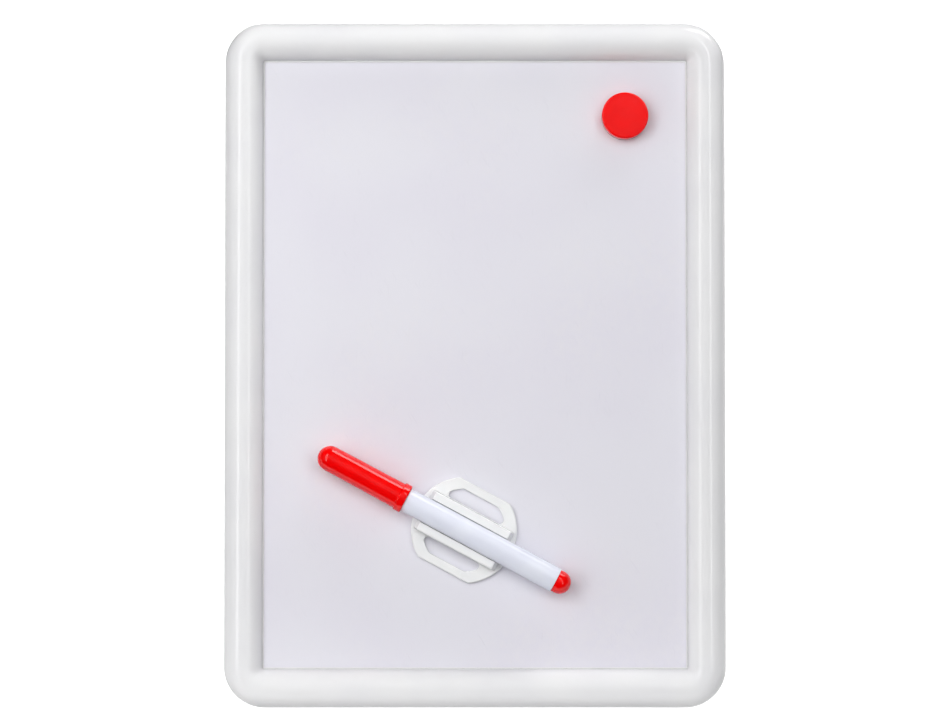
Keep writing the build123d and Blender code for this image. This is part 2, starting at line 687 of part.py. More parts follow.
def make_holder_magnets():
    discs = []
    for side in (-1, 1):
        disc = extrude(Circle(HOLDER_MAGNET_RADIUS), HOLDER_MAGNET_THICKNESS)
        discs.append(holder_plane() * Pos(side * HOLDER_MAGNET_U, 0, 0) * disc)
    return discs


# ---- marker
def on_pen(piece):
    """Set a piece made along S on the pen's axis in the holder."""
    return holder_plane() * Pos(-PEN_TIP_U, 0, PEN_N) * piece


def make_marker_barrel():
    nib_bore = NIB_RADIUS + FIT_GAP
    barrel = spin(
        (NOSE_TIP_S, nib_bore),
        (NOSE_TIP_S, NOSE_TIP_RADIUS),
        (NOSE_FOOT_S, NOSE_FOOT_RADIUS),
        (NOSE_FOOT_S, NECK_RADIUS),
        (CAP_LENGTH, NECK_RADIUS),
        (CAP_LENGTH, BARREL_RADIUS),
        (BARREL_END_S, BARREL_END_RADIUS),
        (BARREL_END_S, CHAMBER_RADIUS),
        (CHAMBER_S, CHAMBER_RADIUS),
        (CHAMBER_S, nib_bore),
    )
    return on_pen(barrel)


def make_marker_end_plug():
    apex = BARREL_END_S + PLUG_LENGTH
    dome_s = BARREL_END_S + PLUG_STRAIGHT
    slant = PLUG_RADIUS * math.sqrt(0.5)
    spigot = CHAMBER_RADIUS - FIT_GAP
    bore = spigot - PLUG_SPIGOT_WALL
    half = Line((BARREL_END_S, PLUG_RADIUS), (dome_s, PLUG_RADIUS))
    half += ThreePointArc((dome_s, PLUG_RADIUS), (dome_s + slant, slant), (apex, 0))
    half += Polyline(
        (apex, 0),
        (BARREL_END_S, 0),
        (BARREL_END_S, bore),
        (BARREL_END_S - PLUG_SPIGOT, bore),
        (BARREL_END_S - PLUG_SPIGOT, spigot),
        (BARREL_END_S, spigot),
        (BARREL_END_S, PLUG_RADIUS),
    )
    return on_pen(revolve(make_face(half), Axis.X, 360))


def make_ink_reservoir():
    radius = CHAMBER_RADIUS - RESERVOIR_GAP
    socket = NIB_RADIUS + FIT_GAP
    socket_end = RESERVOIR_S + NIB_IN + FIT_GAP
    rod = spin(
        (RESERVOIR_S, socket),
        (RESERVOIR_S, radius),
        (RESERVOIR_END_S, radius),
        (RESERVOIR_END_S, 0),
        (socket_end, 0),
        (socket_end, socket),
    )
    return on_pen(rod)


def make_marker_nib():
    slant = NIB_RADIUS * math.sqrt(0.5)
    dome_s = NIB_TIP_S + NIB_RADIUS
    end_s = RESERVOIR_S + NIB_IN
    half = ThreePointArc((NIB_TIP_S, 0), (dome_s - slant, slant), (dome_s, NIB_RADIUS))
    half += Polyline((dome_s, NIB_RADIUS), (end_s, NIB_RADIUS), (end_s, 0), (NIB_TIP_S, 0))
    return on_pen(revolve(make_face(half), Axis.X, 360))


def make_marker_cap():
    slant = CAP_RADIUS * math.sqrt(0.5)
    collar_s = CAP_LENGTH - COLLAR_LENGTH
    dome_middle = (CAP_RADIUS - slant, slant)
    outside = ThreePointArc((0, 0), dome_middle, (CAP_RADIUS, CAP_RADIUS))
    outside += Polyline(
        (CAP_RADIUS, CAP_RADIUS),
        (collar_s, CAP_MOUTH_RADIUS),
        (collar_s, COLLAR_RADIUS - COLLAR_EDGE),
        (collar_s + COLLAR_EDGE, COLLAR_RADIUS),
        (CAP_LENGTH - COLLAR_EDGE, COLLAR_RADIUS),
        (CAP_LENGTH, COLLAR_RADIUS - COLLAR_EDGE),
        (CAP_LENGTH, CAP_BORE),
        (LINER_S, CAP_BORE),
        (LINER_S, CAP_BORE - LINER_SEAT),
        (CAP_TIP_WALL, CAP_TIP_BORE_RADIUS),
        (CAP_TIP_WALL, 0),
        (0, 0),
    )
    return on_pen(revolve(make_face(outside), Axis.X, 360))


def make_cap_liner():
    outer = CAP_BORE - FIT_GAP
    inner = outer - LINER_WALL
    cup = spin(
        (LINER_S, 0),
        (LINER_S, outer),
        (LINER_S + LINER_LENGTH, outer),
        (LINER_S + LINER_LENGTH, inner),
        (LINER_S + LINER_FLOOR, inner),
        (LINER_S + LINER_FLOOR, 0),
    )
    return on_pen(cup)


# ---- the whole part
def make_pieces():
    """Every piece in the board's frame, by its node's name."""
    return {
        "frame_bezel": make_frame_bezel(),
        "writing_sheet": make_writing_sheet(),
        "core_board": make_core_board(),
        "rear_cover": make_rear_cover(),
        "cover_screws": make_cover_screws(),
        "foot_left": make_foot(-1),
        "foot_right": make_foot(1),
        "hinge_bracket_left": make_hinge_bracket(-1),
        "hinge_bracket_right": make_hinge_bracket(1),
        "bracket_rivets": make_bracket_rivets(),
        "hinge_pin": make_hinge_pin(),
        "pin_retaining_washer": make_pin_retaining_washer(),
        "easel_leg": make_easel_leg(),
        "leg_shoe": make_leg_shoe(),
        "magnet_shell": make_magnet_shell(),
        "magnet_disc": make_magnet_disc(),
        "holder_clip": make_holder_clip(),
        "holder_magnets": make_holder_magnets(),
        "marker_barrel": make_marker_barrel(),
        "marker_end_plug": make_marker_end_plug(),
        "ink_reservoir": make_ink_reservoir(),
        "marker_nib": make_marker_nib(),
        "marker_cap": make_marker_cap(),
        "cap_liner": make_cap_liner(),
    }


def gather(piece):
    """One shape for export, also where a node is a group of solids."""
    return Compound(children=piece) if isinstance(piece, list) else piece


pieces = {name: gather(piece) for name, piece in make_pieces().items()}
leaning = {name: Rot(-LEAN, 0, 0) * piece for name, piece in pieces.items()}
boxes = [piece.bounding_box() for piece in leaning.values()]
front = min(box.min.Y for box in boxes)
rear = max(box.max.Y for box in boxes)
STAND_Y = -(front + rear) / 2
STAND_Z = -FLOOR

os.makedirs("parts", exist_ok=True)
for name, piece in leaning.items():
    export_step(Pos(0, STAND_Y, STAND_Z) * piece, f"parts/{name}.step")
print("leg reach", round(LEG_REACH, 2), "stand", round(STAND_Y, 3), round(STAND_Z, 3))
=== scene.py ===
"""The looks of a magnetic desk whiteboard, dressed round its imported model.

Sizes are written in millimetres, and MM turns them into metres. The pieces on the front are
made in the face frame: x to the right, y up the board and z out of the writing sheet, with
its origin on the sheet's plane at the middle of the bezel's bottom edge.
"""

import math

import bmesh
import bpy
from mathutils import Matrix, Vector


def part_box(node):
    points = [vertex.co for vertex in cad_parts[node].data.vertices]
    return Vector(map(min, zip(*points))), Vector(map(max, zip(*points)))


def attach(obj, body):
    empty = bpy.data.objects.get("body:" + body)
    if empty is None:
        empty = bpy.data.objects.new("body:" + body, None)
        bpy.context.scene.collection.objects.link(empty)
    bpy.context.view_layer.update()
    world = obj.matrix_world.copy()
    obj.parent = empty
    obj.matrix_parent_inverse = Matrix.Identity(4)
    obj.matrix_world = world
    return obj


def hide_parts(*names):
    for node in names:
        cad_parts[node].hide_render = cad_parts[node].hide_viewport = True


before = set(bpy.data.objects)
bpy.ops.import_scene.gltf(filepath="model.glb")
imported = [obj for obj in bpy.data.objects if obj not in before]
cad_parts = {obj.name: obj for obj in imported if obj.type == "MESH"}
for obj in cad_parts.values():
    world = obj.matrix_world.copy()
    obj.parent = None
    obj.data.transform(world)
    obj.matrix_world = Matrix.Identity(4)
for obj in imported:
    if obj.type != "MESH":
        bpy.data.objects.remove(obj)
bpy.context.view_layer.update()

MM = 0.001

# ---- stance
LEAN = math.radians(20.0)

# ---- bezel
WIDTH = 216.0
HEIGHT = 295.3
BAR_WIDTH = 16.4
CORNER_RADIUS = 17.5
BAR_CROWN = 7.5
CROWN_SHIFT = 0.6               # the crown lies this far inward of the bar's middle
REAR_DEPTH = 9.5
BEZEL_WALL = 2.2
LIP_COVER = 3.5
LIP_LAND = 0.3                  # fine flange that lies on the sheet
LIP_LAND_HEIGHT = 0.3
LIP_LAND_EDGE = 0.14
LIP_CREASE = 0.5                # groove between the bullnose and the flange
LIP_CREASE_FLOOR = 0.05
LIP_FOOT = 0.35                 # height at which the bullnose ends
RIM_ROUND = 0.5
WITNESS_WIDTH = 0.3             # mould line round the bezel's widest part
WITNESS_DEPTH = 0.08
ARC_STEPS = 56
CORNER_STEPS = 28

# ---- the stack behind the lip
SHEET_INSET = 12.9
SHEET_THICKNESS = 0.5
COVER_REAR = 5.5

# ---- fasteners
SIDE_SCREW_SPREAD = 120.0
SCREW_INSET = 6.8
SCREW_RADIUS = 1.4
SCREW_LENGTH = 8.5
SCREW_HEAD_RADIUS = 2.6
SCREW_HEAD_HEIGHT = 1.8
SCREW_HEAD_ROUND = 1.08
SCREW_TURN = math.radians(25.0)
RECESS_REACH = 1.56
RECESS_WIDTH = 0.74
RECESS_DEPTH = 1.1
RECESS_TAPER = 0.45             # size of the recess floor as a share of its mouth
THREAD_PITCH = 0.9
THREAD_DEPTH = 0.25
RIVET_RADIUS = 1.25
RIVET_HEAD_RADIUS = 2.5
RIVET_HEAD_HEIGHT = 1.0
RIVET_HEAD_ROUND = 0.8
RIVET_TAIL_RADIUS = 2.2
RIVET_TAIL_HEIGHT = 0.8
RIVET_GRIP = 3.0
RIVET_X = 31.3
RIVET_SPACING = 7.6
BRACKET_THICKNESS = 1.0
HINGE_HEIGHT = 200.0

# ---- round magnet
MAGNET_X = 64.6
MAGNET_Y = 254.45
MAGNET_RADIUS = 10.0
MAGNET_THICKNESS = 7.0
MAGNET_EDGE = 0.8
MAGNET_POCKET_RADIUS = 8.05
MAGNET_POCKET_DEPTH = 3.05
CLING_GAP = 0.05

# ---- pen holder and marker
HOLDER_X = -4.75
HOLDER_Y = 76.15
PEN_ANGLE = math.radians(28.3)
PEN_Z = 8.85
PEN_TIP_U = 70.4
CAP_LENGTH = 42.35
CAP_RADIUS = 5.5
CAP_MOUTH_RADIUS = 5.7
COLLAR_RADIUS = 6.3
COLLAR_LENGTH = 3.4
COLLAR_EDGE = 0.45
CAP_BORE = 4.4
CAP_TIP_BORE = 2.4
CAP_TIP_WALL = 2.0
LINER_START = 12.65
LINER_SEAT = 1.0
BARREL_LENGTH = 72.65
BARREL_RADIUS = 5.25
BARREL_END_RADIUS = 5.45
BARREL_EDGE = 0.22
BARREL_WALL = 0.9
NECK_RADIUS = 4.3
NECK_LENGTH = 8.0
NECK_BEAD = 0.07
NOSE_LENGTH = 10.7
NOSE_FOOT_RADIUS = 4.0
NOSE_TIP_RADIUS = 2.6
NOSE_EDGE = 0.2
NIB_BORE = 1.75
SHOULDER_WALL = 2.3
PLUG_RADIUS = 5.0
PLUG_STRAIGHT = 1.75
PLUG_EDGE = 0.18
PLUG_SPIGOT = 6.0
PLUG_SPIGOT_WALL = 1.2
FIT_GAP = 0.05
LATHE_STEPS = 96

# ---- view
CAMERA_DISTANCE = 1.3
CAMERA_ELEVATION = math.radians(18.3)
CAMERA_AIM_UP = 0.9             # aim above the board's middle
VIEW_WIDTH = 409.6              # width of the view at the board
SENSOR = 36.0

# ---- room and floor, as strengths and metres
ROOM_BASE = 0.03
BACKDROP_EDGE = 0.8             # a mirror ray this far backwards begins to meet white
BACKDROP_FULL = 0.97
FLOOR_GLOW = 0.92
FLOOR_REACH = 6.0
FADE_START = 0.4                # from here the floor's glow rises, to white at its end
FADE_END = 2.0
FLAG_EDGE = 0.12                # a black flag in front of here keeps glare off the undersides
FLAG_LIFT = 0.0005

# ---- lamps: radiance, width, height, place (right, up, out from the board's middle), mirrored
LAMPS = {
    "strip_left": (5.0, 0.2, 1.5, (-0.62, 0.1, 0.86), True),
    "strip_right": (8.0, 0.18, 2.1, (0.96, 0.4, 1.8), True),
    "overhead": (7.4, 0.34, 0.7, (0.52, 0.98, 0.14), True),
    "key": (0.5, 0.6, 0.5, (-0.62, 0.33, 1.1), True),
    "front_wash": (3.0, 0.8, 0.6, (-0.1, 0.18, 1.0), False),
    "left_wash": (1.3, 0.5, 1.0, (-1.1, 0.1, 0.6), False),
}
REAR_RADIANCE = 5.2
REAR_WIDTH = 1.8
REAR_HEIGHT = 1.0
REAR_PLACE = (0.5, 1.75, 0.5)


# ---- frames of reference
def board_frame():
    """From the board's own frame (x right, y back, z up) to the row frame."""
    low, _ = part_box("writing_sheet")
    down = Matrix.Rotation(-LEAN, 4, "X")
    corner = down @ Vector((0, 0, SHEET_INSET * MM))
    sheet_rear = down @ Vector((0, SHEET_THICKNESS * MM, SHEET_INSET * MM))
    stand = Vector((0, low.y - corner.y, low.z - sheet_rear.z))
    return Matrix.Translation(stand) @ down


BOARD = board_frame()
FACE = BOARD @ Matrix.Rotation(math.pi / 2, 4, "X")


def on_face(x, y, z=0.0, turn=0.0):
    """A frame on the sheet's plane, given in millimetres and turned in that plane."""
    return FACE @ Matrix.Translation(Vector((x, y, z)) * MM) @ Matrix.Rotation(turn, 4, "Z")


PEN = on_face(HOLDER_X, HOLDER_Y, CLING_GAP + PEN_Z, -PEN_ANGLE)
PEN = PEN @ Matrix.Translation(Vector((-PEN_TIP_U, 0, 0)) * MM)
MAGNET = on_face(MAGNET_X, MAGNET_Y, CLING_GAP)


# ---- nodes
class Net:
    """Adds nodes to a tree and links them."""

    def __init__(self, tree):
        self.tree = tree

    def add(self, kind, values=None, **settings):
        node = self.tree.nodes.new(kind)
        for key, value in settings.items():
            setattr(node, key, value)
        for key, value in (values or {}).items():
            self.put(node.inputs[key], value)
        return node

    def put(self, socket, value):
        if isinstance(value, bpy.types.NodeSocket):
            self.tree.links.new(value, socket)
        else:
            socket.default_value = value

    def math(self, operation, first, second=0.0, clamp=False):
        values = {0: first, 1: second}
        node = self.add("ShaderNodeMath", values, operation=operation, use_clamp=clamp)
        return node.outputs[0]

    def ramp(self, value, low, high, out_low=0.0, out_high=1.0):
        values = {"Value": value, "From Min": low, "From Max": high}
        values.update({"To Min": out_low, "To Max": out_high})
        node = self.add("ShaderNodeMapRange", values, interpolation_type="SMOOTHSTEP")
        return node.outputs["Result"]

    def blend(self, share, first, second):
        """Mix two colours by a share."""
        node = self.add("ShaderNodeMix", data_type="RGBA")
        self.put(node.inputs["Factor"], share)
        colours = [socket for socket in node.inputs if socket.type == "RGBA"]
        self.put(colours[0], first)
        self.put(colours[1], second)
        return [socket for socket in node.outputs if socket.type == "RGBA"][0]

    def noise(self, vector, size_mm, detail=2.0, rough=0.5):
        """Noise whose blobs are about size_mm across."""
        scale = self.math("DIVIDE", 1.0, size_mm)
        values = {"Vector": vector, "Scale": scale, "Detail": detail, "Roughness": rough}
        return self.add("ShaderNodeTexNoise", values).outputs["Fac"]

    def place_mm(self):
        """The piece's own coordinates in millimetres."""
        place = self.add("ShaderNodeTexCoord").outputs["Object"]
        return self.add(
            "ShaderNodeVectorMath", {0: place, "Scale": 1 / MM}, operation="SCALE"
        ).outputs[0]


def shader_group(name, inputs, outputs):
    """A shader node group with float inputs; returns its net, inputs and outputs."""
    group = bpy.data.node_groups.new(name, "ShaderNodeTree")
    for label, value in inputs.items():
        socket = group.interface.new_socket(
            name=label, in_out="INPUT", socket_type="NodeSocketFloat"
        )
        socket.default_value = value
    for label, kind in outputs.items():
        group.interface.new_socket(name=label, in_out="OUTPUT", socket_type=kind)
    net = Net(group)
    given = net.add("NodeGroupInput").outputs
    result = net.add("NodeGroupOutput").inputs
    return net, given, result


def make_moulded_skin():
    """Fine grain and slow sink of moulded plastic, as a height in millimetres."""
    inputs = {"Grain Size": 0.4, "Grain Depth": 0.002, "Sink Size": 14.0, "Sink Depth": 0.02}
    outputs = {"Height": "NodeSocketFloat", "Shade": "NodeSocketFloat"}
    net, given, result = shader_group("moulded_skin", inputs, outputs)
    place = net.place_mm()
    grain = net.noise(place, given["Grain Size"], 3.0)
    sink = net.noise(place, given["Sink Size"], 1.0)
    fine = net.math("MULTIPLY", grain, given["Grain Depth"])
    slow = net.math("MULTIPLY", sink, given["Sink Depth"])
    net.put(result["Height"], net.math("ADD", fine, slow))
    net.put(result["Shade"], net.ramp(sink, 0.3, 0.7))
    return net.tree


def make_worn_edge():
    """Rounds the look of sharp edges and marks them for wear."""
    inputs = {"Radius": 0.25}
    outputs = {"Edge": "NodeSocketFloat", "Normal": "NodeSocketVector"}
    net, given, result = shader_group("worn_edge", inputs, outputs)
    radius = net.math("MULTIPLY", given["Radius"], MM)
    bevel = net.add("ShaderNodeBevel", {"Radius": radius}, samples=6)
    facing = net.add("ShaderNodeNewGeometry").outputs["Normal"]
    dot = net.add(
        "ShaderNodeVectorMath", {0: bevel.outputs[0], 1: facing}, operation="DOT_PRODUCT"
    )
    turned = net.math("SUBTRACT", 1.0, dot.outputs["Value"])
    net.put(result["Edge"], net.ramp(turned, 0.01, 0.25))
    net.put(result["Normal"], bevel.outputs[0])
    return net.tree


def make_crease_dust_and_shade():
    """A crease mask from ambient occlusion, broken into patches, that lays painted shade in creases
    and corners and, on the rubber feet, pale grime.
    """
    inputs = {"Reach": 1.5, "Patch Size": 6.0}
    outputs = {"Dust": "NodeSocketFloat"}
    net, given, result = shader_group("crease_dust_and_shade", inputs, outputs)
    reach = net.math("MULTIPLY", given["Reach"], MM)
    shade = net.add("ShaderNodeAmbientOcclusion", {"Distance": reach}, samples=8)
    hidden = net.ramp(shade.outputs["AO"], 0.25, 0.95, 1.0, 0.0)
    patch = net.noise(net.place_mm(), given["Patch Size"], 3.0)
    share = net.ramp(patch, 0.2, 0.8, 0.7, 1.0)
    net.put(result["Dust"], net.math("MULTIPLY", hidden, share, clamp=True))
    return net.tree


def make_handling_marks():
    """Faint smears left by hands and cloths."""
    inputs = {"Size": 30.0}
    outputs = {"Smear": "NodeSocketFloat"}
    net, given, result = shader_group("handling_marks", inputs, outputs)
    place = net.place_mm()
    patch = net.ramp(net.noise(place, given["Size"], 2.0), 0.4, 0.72)
    turned = net.add("ShaderNodeMapping", {"Vector": place})
    turned.inputs["Rotation"].default_value = (0.3, 0.5, 0.7)
    turned.inputs["Scale"].default_value = (1.0, 0.12, 1.0)
    streak_size = net.math("MULTIPLY", given["Size"], 0.06)
    streak = net.noise(turned.outputs[0], streak_size, 4.0, 0.6)
    mixed = net.math("MULTIPLY", patch, net.ramp(streak, 0.3, 0.75))
    net.put(result["Smear"], mixed)
    return net.tree


def make_hairlines():
    """Sparse hairline scratches in two directions."""
    inputs = {"Length": 14.0, "Width": 0.12, "Amount": 0.5}
    outputs = {"Scratch": "NodeSocketFloat"}
    net, given, result = shader_group("hairlines", inputs, outputs)
    place = net.place_mm()
    layers = []
    for turn in ((0.1, 0.2, 0.5), (0.9, -0.4, -1.1)):
        mapped = net.add("ShaderNodeMapping", {"Vector": place})
        mapped.inputs["Rotation"].default_value = turn
        stretch = net.add("ShaderNodeCombineXYZ")
        net.put(stretch.inputs["X"], net.math("DIVIDE", 1.0, given["Length"]))
        net.put(stretch.inputs["Y"], net.math("DIVIDE", 1.0, given["Width"]))
        net.put(stretch.inputs["Z"], net.math("DIVIDE", 1.0, given["Length"]))
        stretched = net.add(
            "ShaderNodeVectorMath",
            {0: mapped.outputs[0], 1: stretch.outputs[0]},
            operation="MULTIPLY",
        )
        values = {"Vector": stretched.outputs[0], "Scale": 1.0, "Detail": 1.0}
        lines = net.add("ShaderNodeTexNoise", values).outputs["Fac"]
        sparse = net.ramp(net.noise(place, given["Length"], 1.0), 0.45, 0.7)
        layers.append(net.math("MULTIPLY", net.ramp(lines, 0.68, 0.74), sparse))
    both = net.math("MAXIMUM", layers[0], layers[1])
    net.put(result["Scratch"], net.math("MULTIPLY", both, given["Amount"], clamp=True))
    return net.tree


GROUPS = {
    "moulded_skin": make_moulded_skin(),
    "worn_edge": make_worn_edge(),
    "crease_dust_and_shade": make_crease_dust_and_shade(),
    "handling_marks": make_handling_marks(),
    "hairlines": make_hairlines(),
}


# ---- finishes
def paint(red, green, blue):
    """A colour from its screen values of 0 to 255."""
    channels = []
    for level in (red, green, blue):
        share = level / 255
        linear = share / 12.92 if share <= 0.04045 else ((share + 0.055) / 1.055) ** 2.4
        channels.append(linear)
    return (*channels, 1.0)


def blank_material(name):
    """A new material whose node tree is empty."""
    material = bpy.data.materials.new(name)
    material.use_nodes = True
    material.node_tree.nodes.clear()
    return material


class Finish(Net):
    """A material under way: a Principled shader and the shared effects."""

    def __init__(self, name):
        self.material = blank_material(name)
        super().__init__(self.material.node_tree)
        self.shader = self.add("ShaderNodeBsdfPrincipled")
        output = self.add("ShaderNodeOutputMaterial")
        self.put(output.inputs["Surface"], self.shader.outputs[0])

    def set(self, label, value):
        self.put(self.shader.inputs[label], value)

    def effect(self, name, values=None):
        node = self.add("ShaderNodeGroup", values=None, node_tree=GROUPS[name])
        for label, value in (values or {}).items():
            self.put(node.inputs[label], value)
        return node.outputs

    def bump(self, height, normal=None, strength=1.0):
        values = {"Height": height, "Distance": MM, "Strength": strength}
        node = self.add("ShaderNodeBump", values)
        if normal is not None:
            self.put(node.inputs["Normal"], normal)
        self.set("Normal", node.outputs[0])


def moulded_plastic(name, colour, shade, **look):
    """Moulded plastic: slow colour drift, grain, rounded worn edges, and creases darkened with
    painted shade (pale grime where the crease colour is lighter).
    """
    finish = Finish(name)
    skin = finish.effect("moulded_skin", look.get("skin"))
    edge = finish.effect("worn_edge", {"Radius": look.get("edge_radius", 0.25)})
    smear = finish.effect("handling_marks", {"Size": look.get("smear_size", 30.0)})
    dust = finish.effect("crease_dust_and_shade", {"Reach": look.get("dust_reach", 1.5)})
    body = finish.blend(skin["Shade"], colour, shade)
    worn = finish.math("MULTIPLY", edge["Edge"], look.get("edge_share", 0.25))
    body = finish.blend(worn, body, look.get("edge_colour", colour))
    # painted shade: creases and corners found by ambient occlusion are mixed toward a darker crease
    # colour, grey by default; only the rubber feet get a lighter grime colour
    dust_and_shade_amount = finish.math("MULTIPLY", dust["Dust"], look.get("dust_share", 0.4))
    body = finish.blend(dust_and_shade_amount, body, look.get("dust_colour", paint(150, 148, 146)))
    finish.set("Base Color", body)
    rough = look.get("roughness", 0.3)
    gain = look.get("smear_gain", 0.08)
    finish.set("Roughness", finish.ramp(smear["Smear"], 0.0, 1.0, rough, rough + gain))
    finish.set("Specular IOR Level", look.get("specular", 0.5))
    finish.bump(skin["Height"], edge["Normal"])
    return finish.material


def bare_metal(name, colour, roughness, grain_size, grain_depth):
    """Plated or bare steel: grain, hairlines, rubbed edges and a dull film."""
    finish = Finish(name)
    skin = finish.effect(
        "moulded_skin",
        {"Grain Size": grain_size, "Grain Depth": grain_depth, "Sink Size": 3.0, "Sink Depth": 0.003},
    )
    edge = finish.effect("worn_edge", {"Radius": 0.12})
    lines = finish.effect("hairlines", {"Length": 4.0, "Width": 0.05, "Amount": 0.6})
    film = finish.effect("crease_dust_and_shade", {"Reach": 1.0, "Patch Size": 2.0})
    dull = tuple(0.55 * channel for channel in colour[:3]) + (1.0,)
    body = finish.blend(finish.math("MULTIPLY", skin["Shade"], 0.35), colour, dull)
    body = finish.blend(finish.math("MULTIPLY", film["Dust"], 0.6), body, paint(70, 66, 62))
    bright = tuple(min(1.0, 1.25 * channel) for channel in colour[:3]) + (1.0,)
    body = finish.blend(finish.math("MULTIPLY", edge["Edge"], 0.6), body, bright)
    finish.set("Base Color", body)
    finish.set("Metallic", 1.0)
    finish.set(
        "Roughness", finish.ramp(lines["Scratch"], 0.0, 1.0, roughness, roughness + 0.2)
    )
    finish.bump(skin["Height"], edge["Normal"])
    return finish.material


def frame_plastic():
    return moulded_plastic(
        "frame_plastic",
        paint(239, 239, 240),
        paint(236, 236, 238),
        roughness=0.05,
        specular=0.3,
        smear_gain=0.05,
        smear_size=45.0,
        skin={"Grain Size": 0.6, "Grain Depth": 0.0004, "Sink Size": 22.0, "Sink Depth": 0.012},
        edge_radius=0.12,
        edge_share=0.1,
        # painted shadow: a near-black crease colour at more than full strength draws the dark shadow
        # line along the lip where the bezel meets the sheet
        dust_reach=0.4,
        dust_share=1.5,
        dust_colour=paint(60, 58, 58),
    )


def cover_plastic():
    return moulded_plastic(
        "cover_plastic",
        paint(226, 226, 224),
        paint(219, 219, 217),
        roughness=0.5,
        skin={"Grain Size": 0.35, "Grain Depth": 0.02, "Sink Size": 30.0, "Sink Depth": 0.05},
        edge_radius=0.5,
        dust_reach=2.5,
        dust_share=0.45,
    )


def leg_plastic():
    return moulded_plastic(
        "leg_plastic",
        paint(236, 236, 235),
        paint(230, 230, 230),
        roughness=0.36,
        skin={"Grain Size": 0.3, "Grain Depth": 0.008, "Sink Size": 16.0, "Sink Depth": 0.04},
        edge_radius=0.4,
        dust_reach=2.0,
        dust_share=0.4,
    )


def holder_plastic():
    return moulded_plastic(
        "holder_plastic",
        paint(242, 243, 243),
        paint(239, 240, 241),
        roughness=0.22,
        specular=0.3,
        skin={"Grain Size": 0.5, "Grain Depth": 0.0006, "Sink Size": 8.0, "Sink Depth": 0.01},
        edge_radius=0.2,
        dust_reach=0.8,
        dust_share=0.35,
    )


def red_plastic():
    return moulded_plastic(
        "red_plastic",
        (0.97, 0.0012, 0.0016, 1.0),
        (0.93, 0.001, 0.0014, 1.0),
        roughness=0.14,
        specular=0.4,
        skin={"Grain Size": 0.5, "Grain Depth": 0.0005, "Sink Size": 7.0, "Sink Depth": 0.006},
        edge_radius=0.12,
        edge_share=0.15,
        # painted shade: creases on the red casing, cap and plug darken to a deep red
        dust_reach=0.5,
        dust_share=0.5,
        dust_colour=paint(120, 0, 4),
    )


def barrel_plastic():
    return moulded_plastic(
        "barrel_plastic",
        paint(235, 238, 249),
        paint(231, 234, 247),
        roughness=0.2,
        specular=0.3,
        skin={"Grain Size": 0.5, "Grain Depth": 0.0005, "Sink Size": 9.0, "Sink Depth": 0.006},
        edge_radius=0.15,
        dust_reach=0.6,
        dust_share=0.3,
    )


def liner_plastic():
    return moulded_plastic(
        "liner_plastic", paint(232, 232, 230), paint(222, 222, 220), roughness=0.4
    )


def foot_rubber():
    return moulded_plastic(
        "foot_rubber",
        paint(44, 44, 46),
        paint(36, 36, 38),
        roughness=0.62,
        skin={"Grain Size": 0.25, "Grain Depth": 0.02, "Sink Size": 6.0, "Sink Depth": 0.03},
        edge_radius=0.3,
        edge_share=0.35,
        edge_colour=paint(86, 85, 84),
        dust_share=0.3,
        dust_colour=paint(96, 92, 88),
    )


def painted_sheet():
    """Gloss enamel on steel: a slight ripple, wiped smears, pale ghosts, fine scratches and painted
    shade in its creases.
    """
    finish = Finish("painted_sheet")
    skin = finish.effect(
        "moulded_skin",
        {"Grain Size": 0.9, "Grain Depth": 0.0012, "Sink Size": 60.0, "Sink Depth": 0.05},
    )
    smear = finish.effect("handling_marks", {"Size": 70.0})
    lines = finish.effect("hairlines", {"Length": 9.0, "Width": 0.14, "Amount": 0.8})
    dust = finish.effect("crease_dust_and_shade", {"Reach": 3.0, "Patch Size": 9.0})
    body = finish.blend(skin["Shade"], paint(230, 229, 237), paint(227, 225, 235))
    ghost = finish.math("MULTIPLY", smear["Smear"], 0.5)
    body = finish.blend(ghost, body, paint(232, 230, 235))
    # painted shade: the sheet is darkened beside the bezel and round the parts that sit on it, where
    # ambient occlusion finds them
    shade = finish.math("MULTIPLY", dust["Dust"], 0.25)
    body = finish.blend(shade, body, paint(176, 174, 182))
    body = finish.blend(
        finish.math("MULTIPLY", lines["Scratch"], 0.25), body, paint(190, 188, 200)
    )
    finish.set("Base Color", body)
    finish.set("Roughness", finish.ramp(smear["Smear"], 0.0, 1.0, 0.4, 0.5))
    finish.set("Specular IOR Level", 0.5)
    finish.bump(skin["Height"])
    return finish.material


def hardboard():
    """Pressed brown fibre with darker flecks."""
    finish = Finish("hardboard")
    place = finish.place_mm()
    fibre = finish.noise(place, 0.5, 5.0, 0.7)
    fleck = finish.ramp(finish.noise(place, 2.0, 3.0), 0.55, 0.75)
    body = finish.blend(fibre, paint(138, 104, 72), paint(168, 134, 98))
    body = finish.blend(fleck, body, paint(96, 70, 48))
    finish.set("Base Color", body)
    finish.set("Roughness", finish.ramp(fibre, 0.0, 1.0, 0.7, 0.9))
    finish.bump(finish.math("MULTIPLY", fibre, 0.08))
    return finish.material


def ferrite():
    """Dark sintered magnet with a chalky, slightly chipped face."""
    finish = Finish("ferrite")
    place = finish.place_mm()
    grain = finish.noise(place, 0.2, 4.0, 0.7)
    edge = finish.effect("worn_edge", {"Radius": 0.15})
    body = finish.blend(grain, paint(52, 52, 54), paint(70, 69, 70))
    body = finish.blend(finish.math("MULTIPLY", edge["Edge"], 0.5), body, paint(98, 97, 98))
    finish.set("Base Color", body)
    finish.set("Roughness", finish.ramp(grain, 0.0, 1.0, 0.55, 0.75))
    finish.bump(finish.math("MULTIPLY", grain, 0.02), edge["Normal"])
    return finish.material


def fibre_bundle(name, colour, dark, size):
    """Felt or pressed nib fibres that run along the marker."""
    finish = Finish(name)
    place = finish.place_mm()
    strand = finish.noise(place, size, 4.0, 0.7)
    body = finish.blend(strand, dark, colour)
    finish.set("Base Color", body)
    finish.set("Roughness", finish.ramp(strand, 0.0, 1.0, 0.75, 0.95))
    finish.bump(finish.math("MULTIPLY", strand, 0.05))
    return finish.material


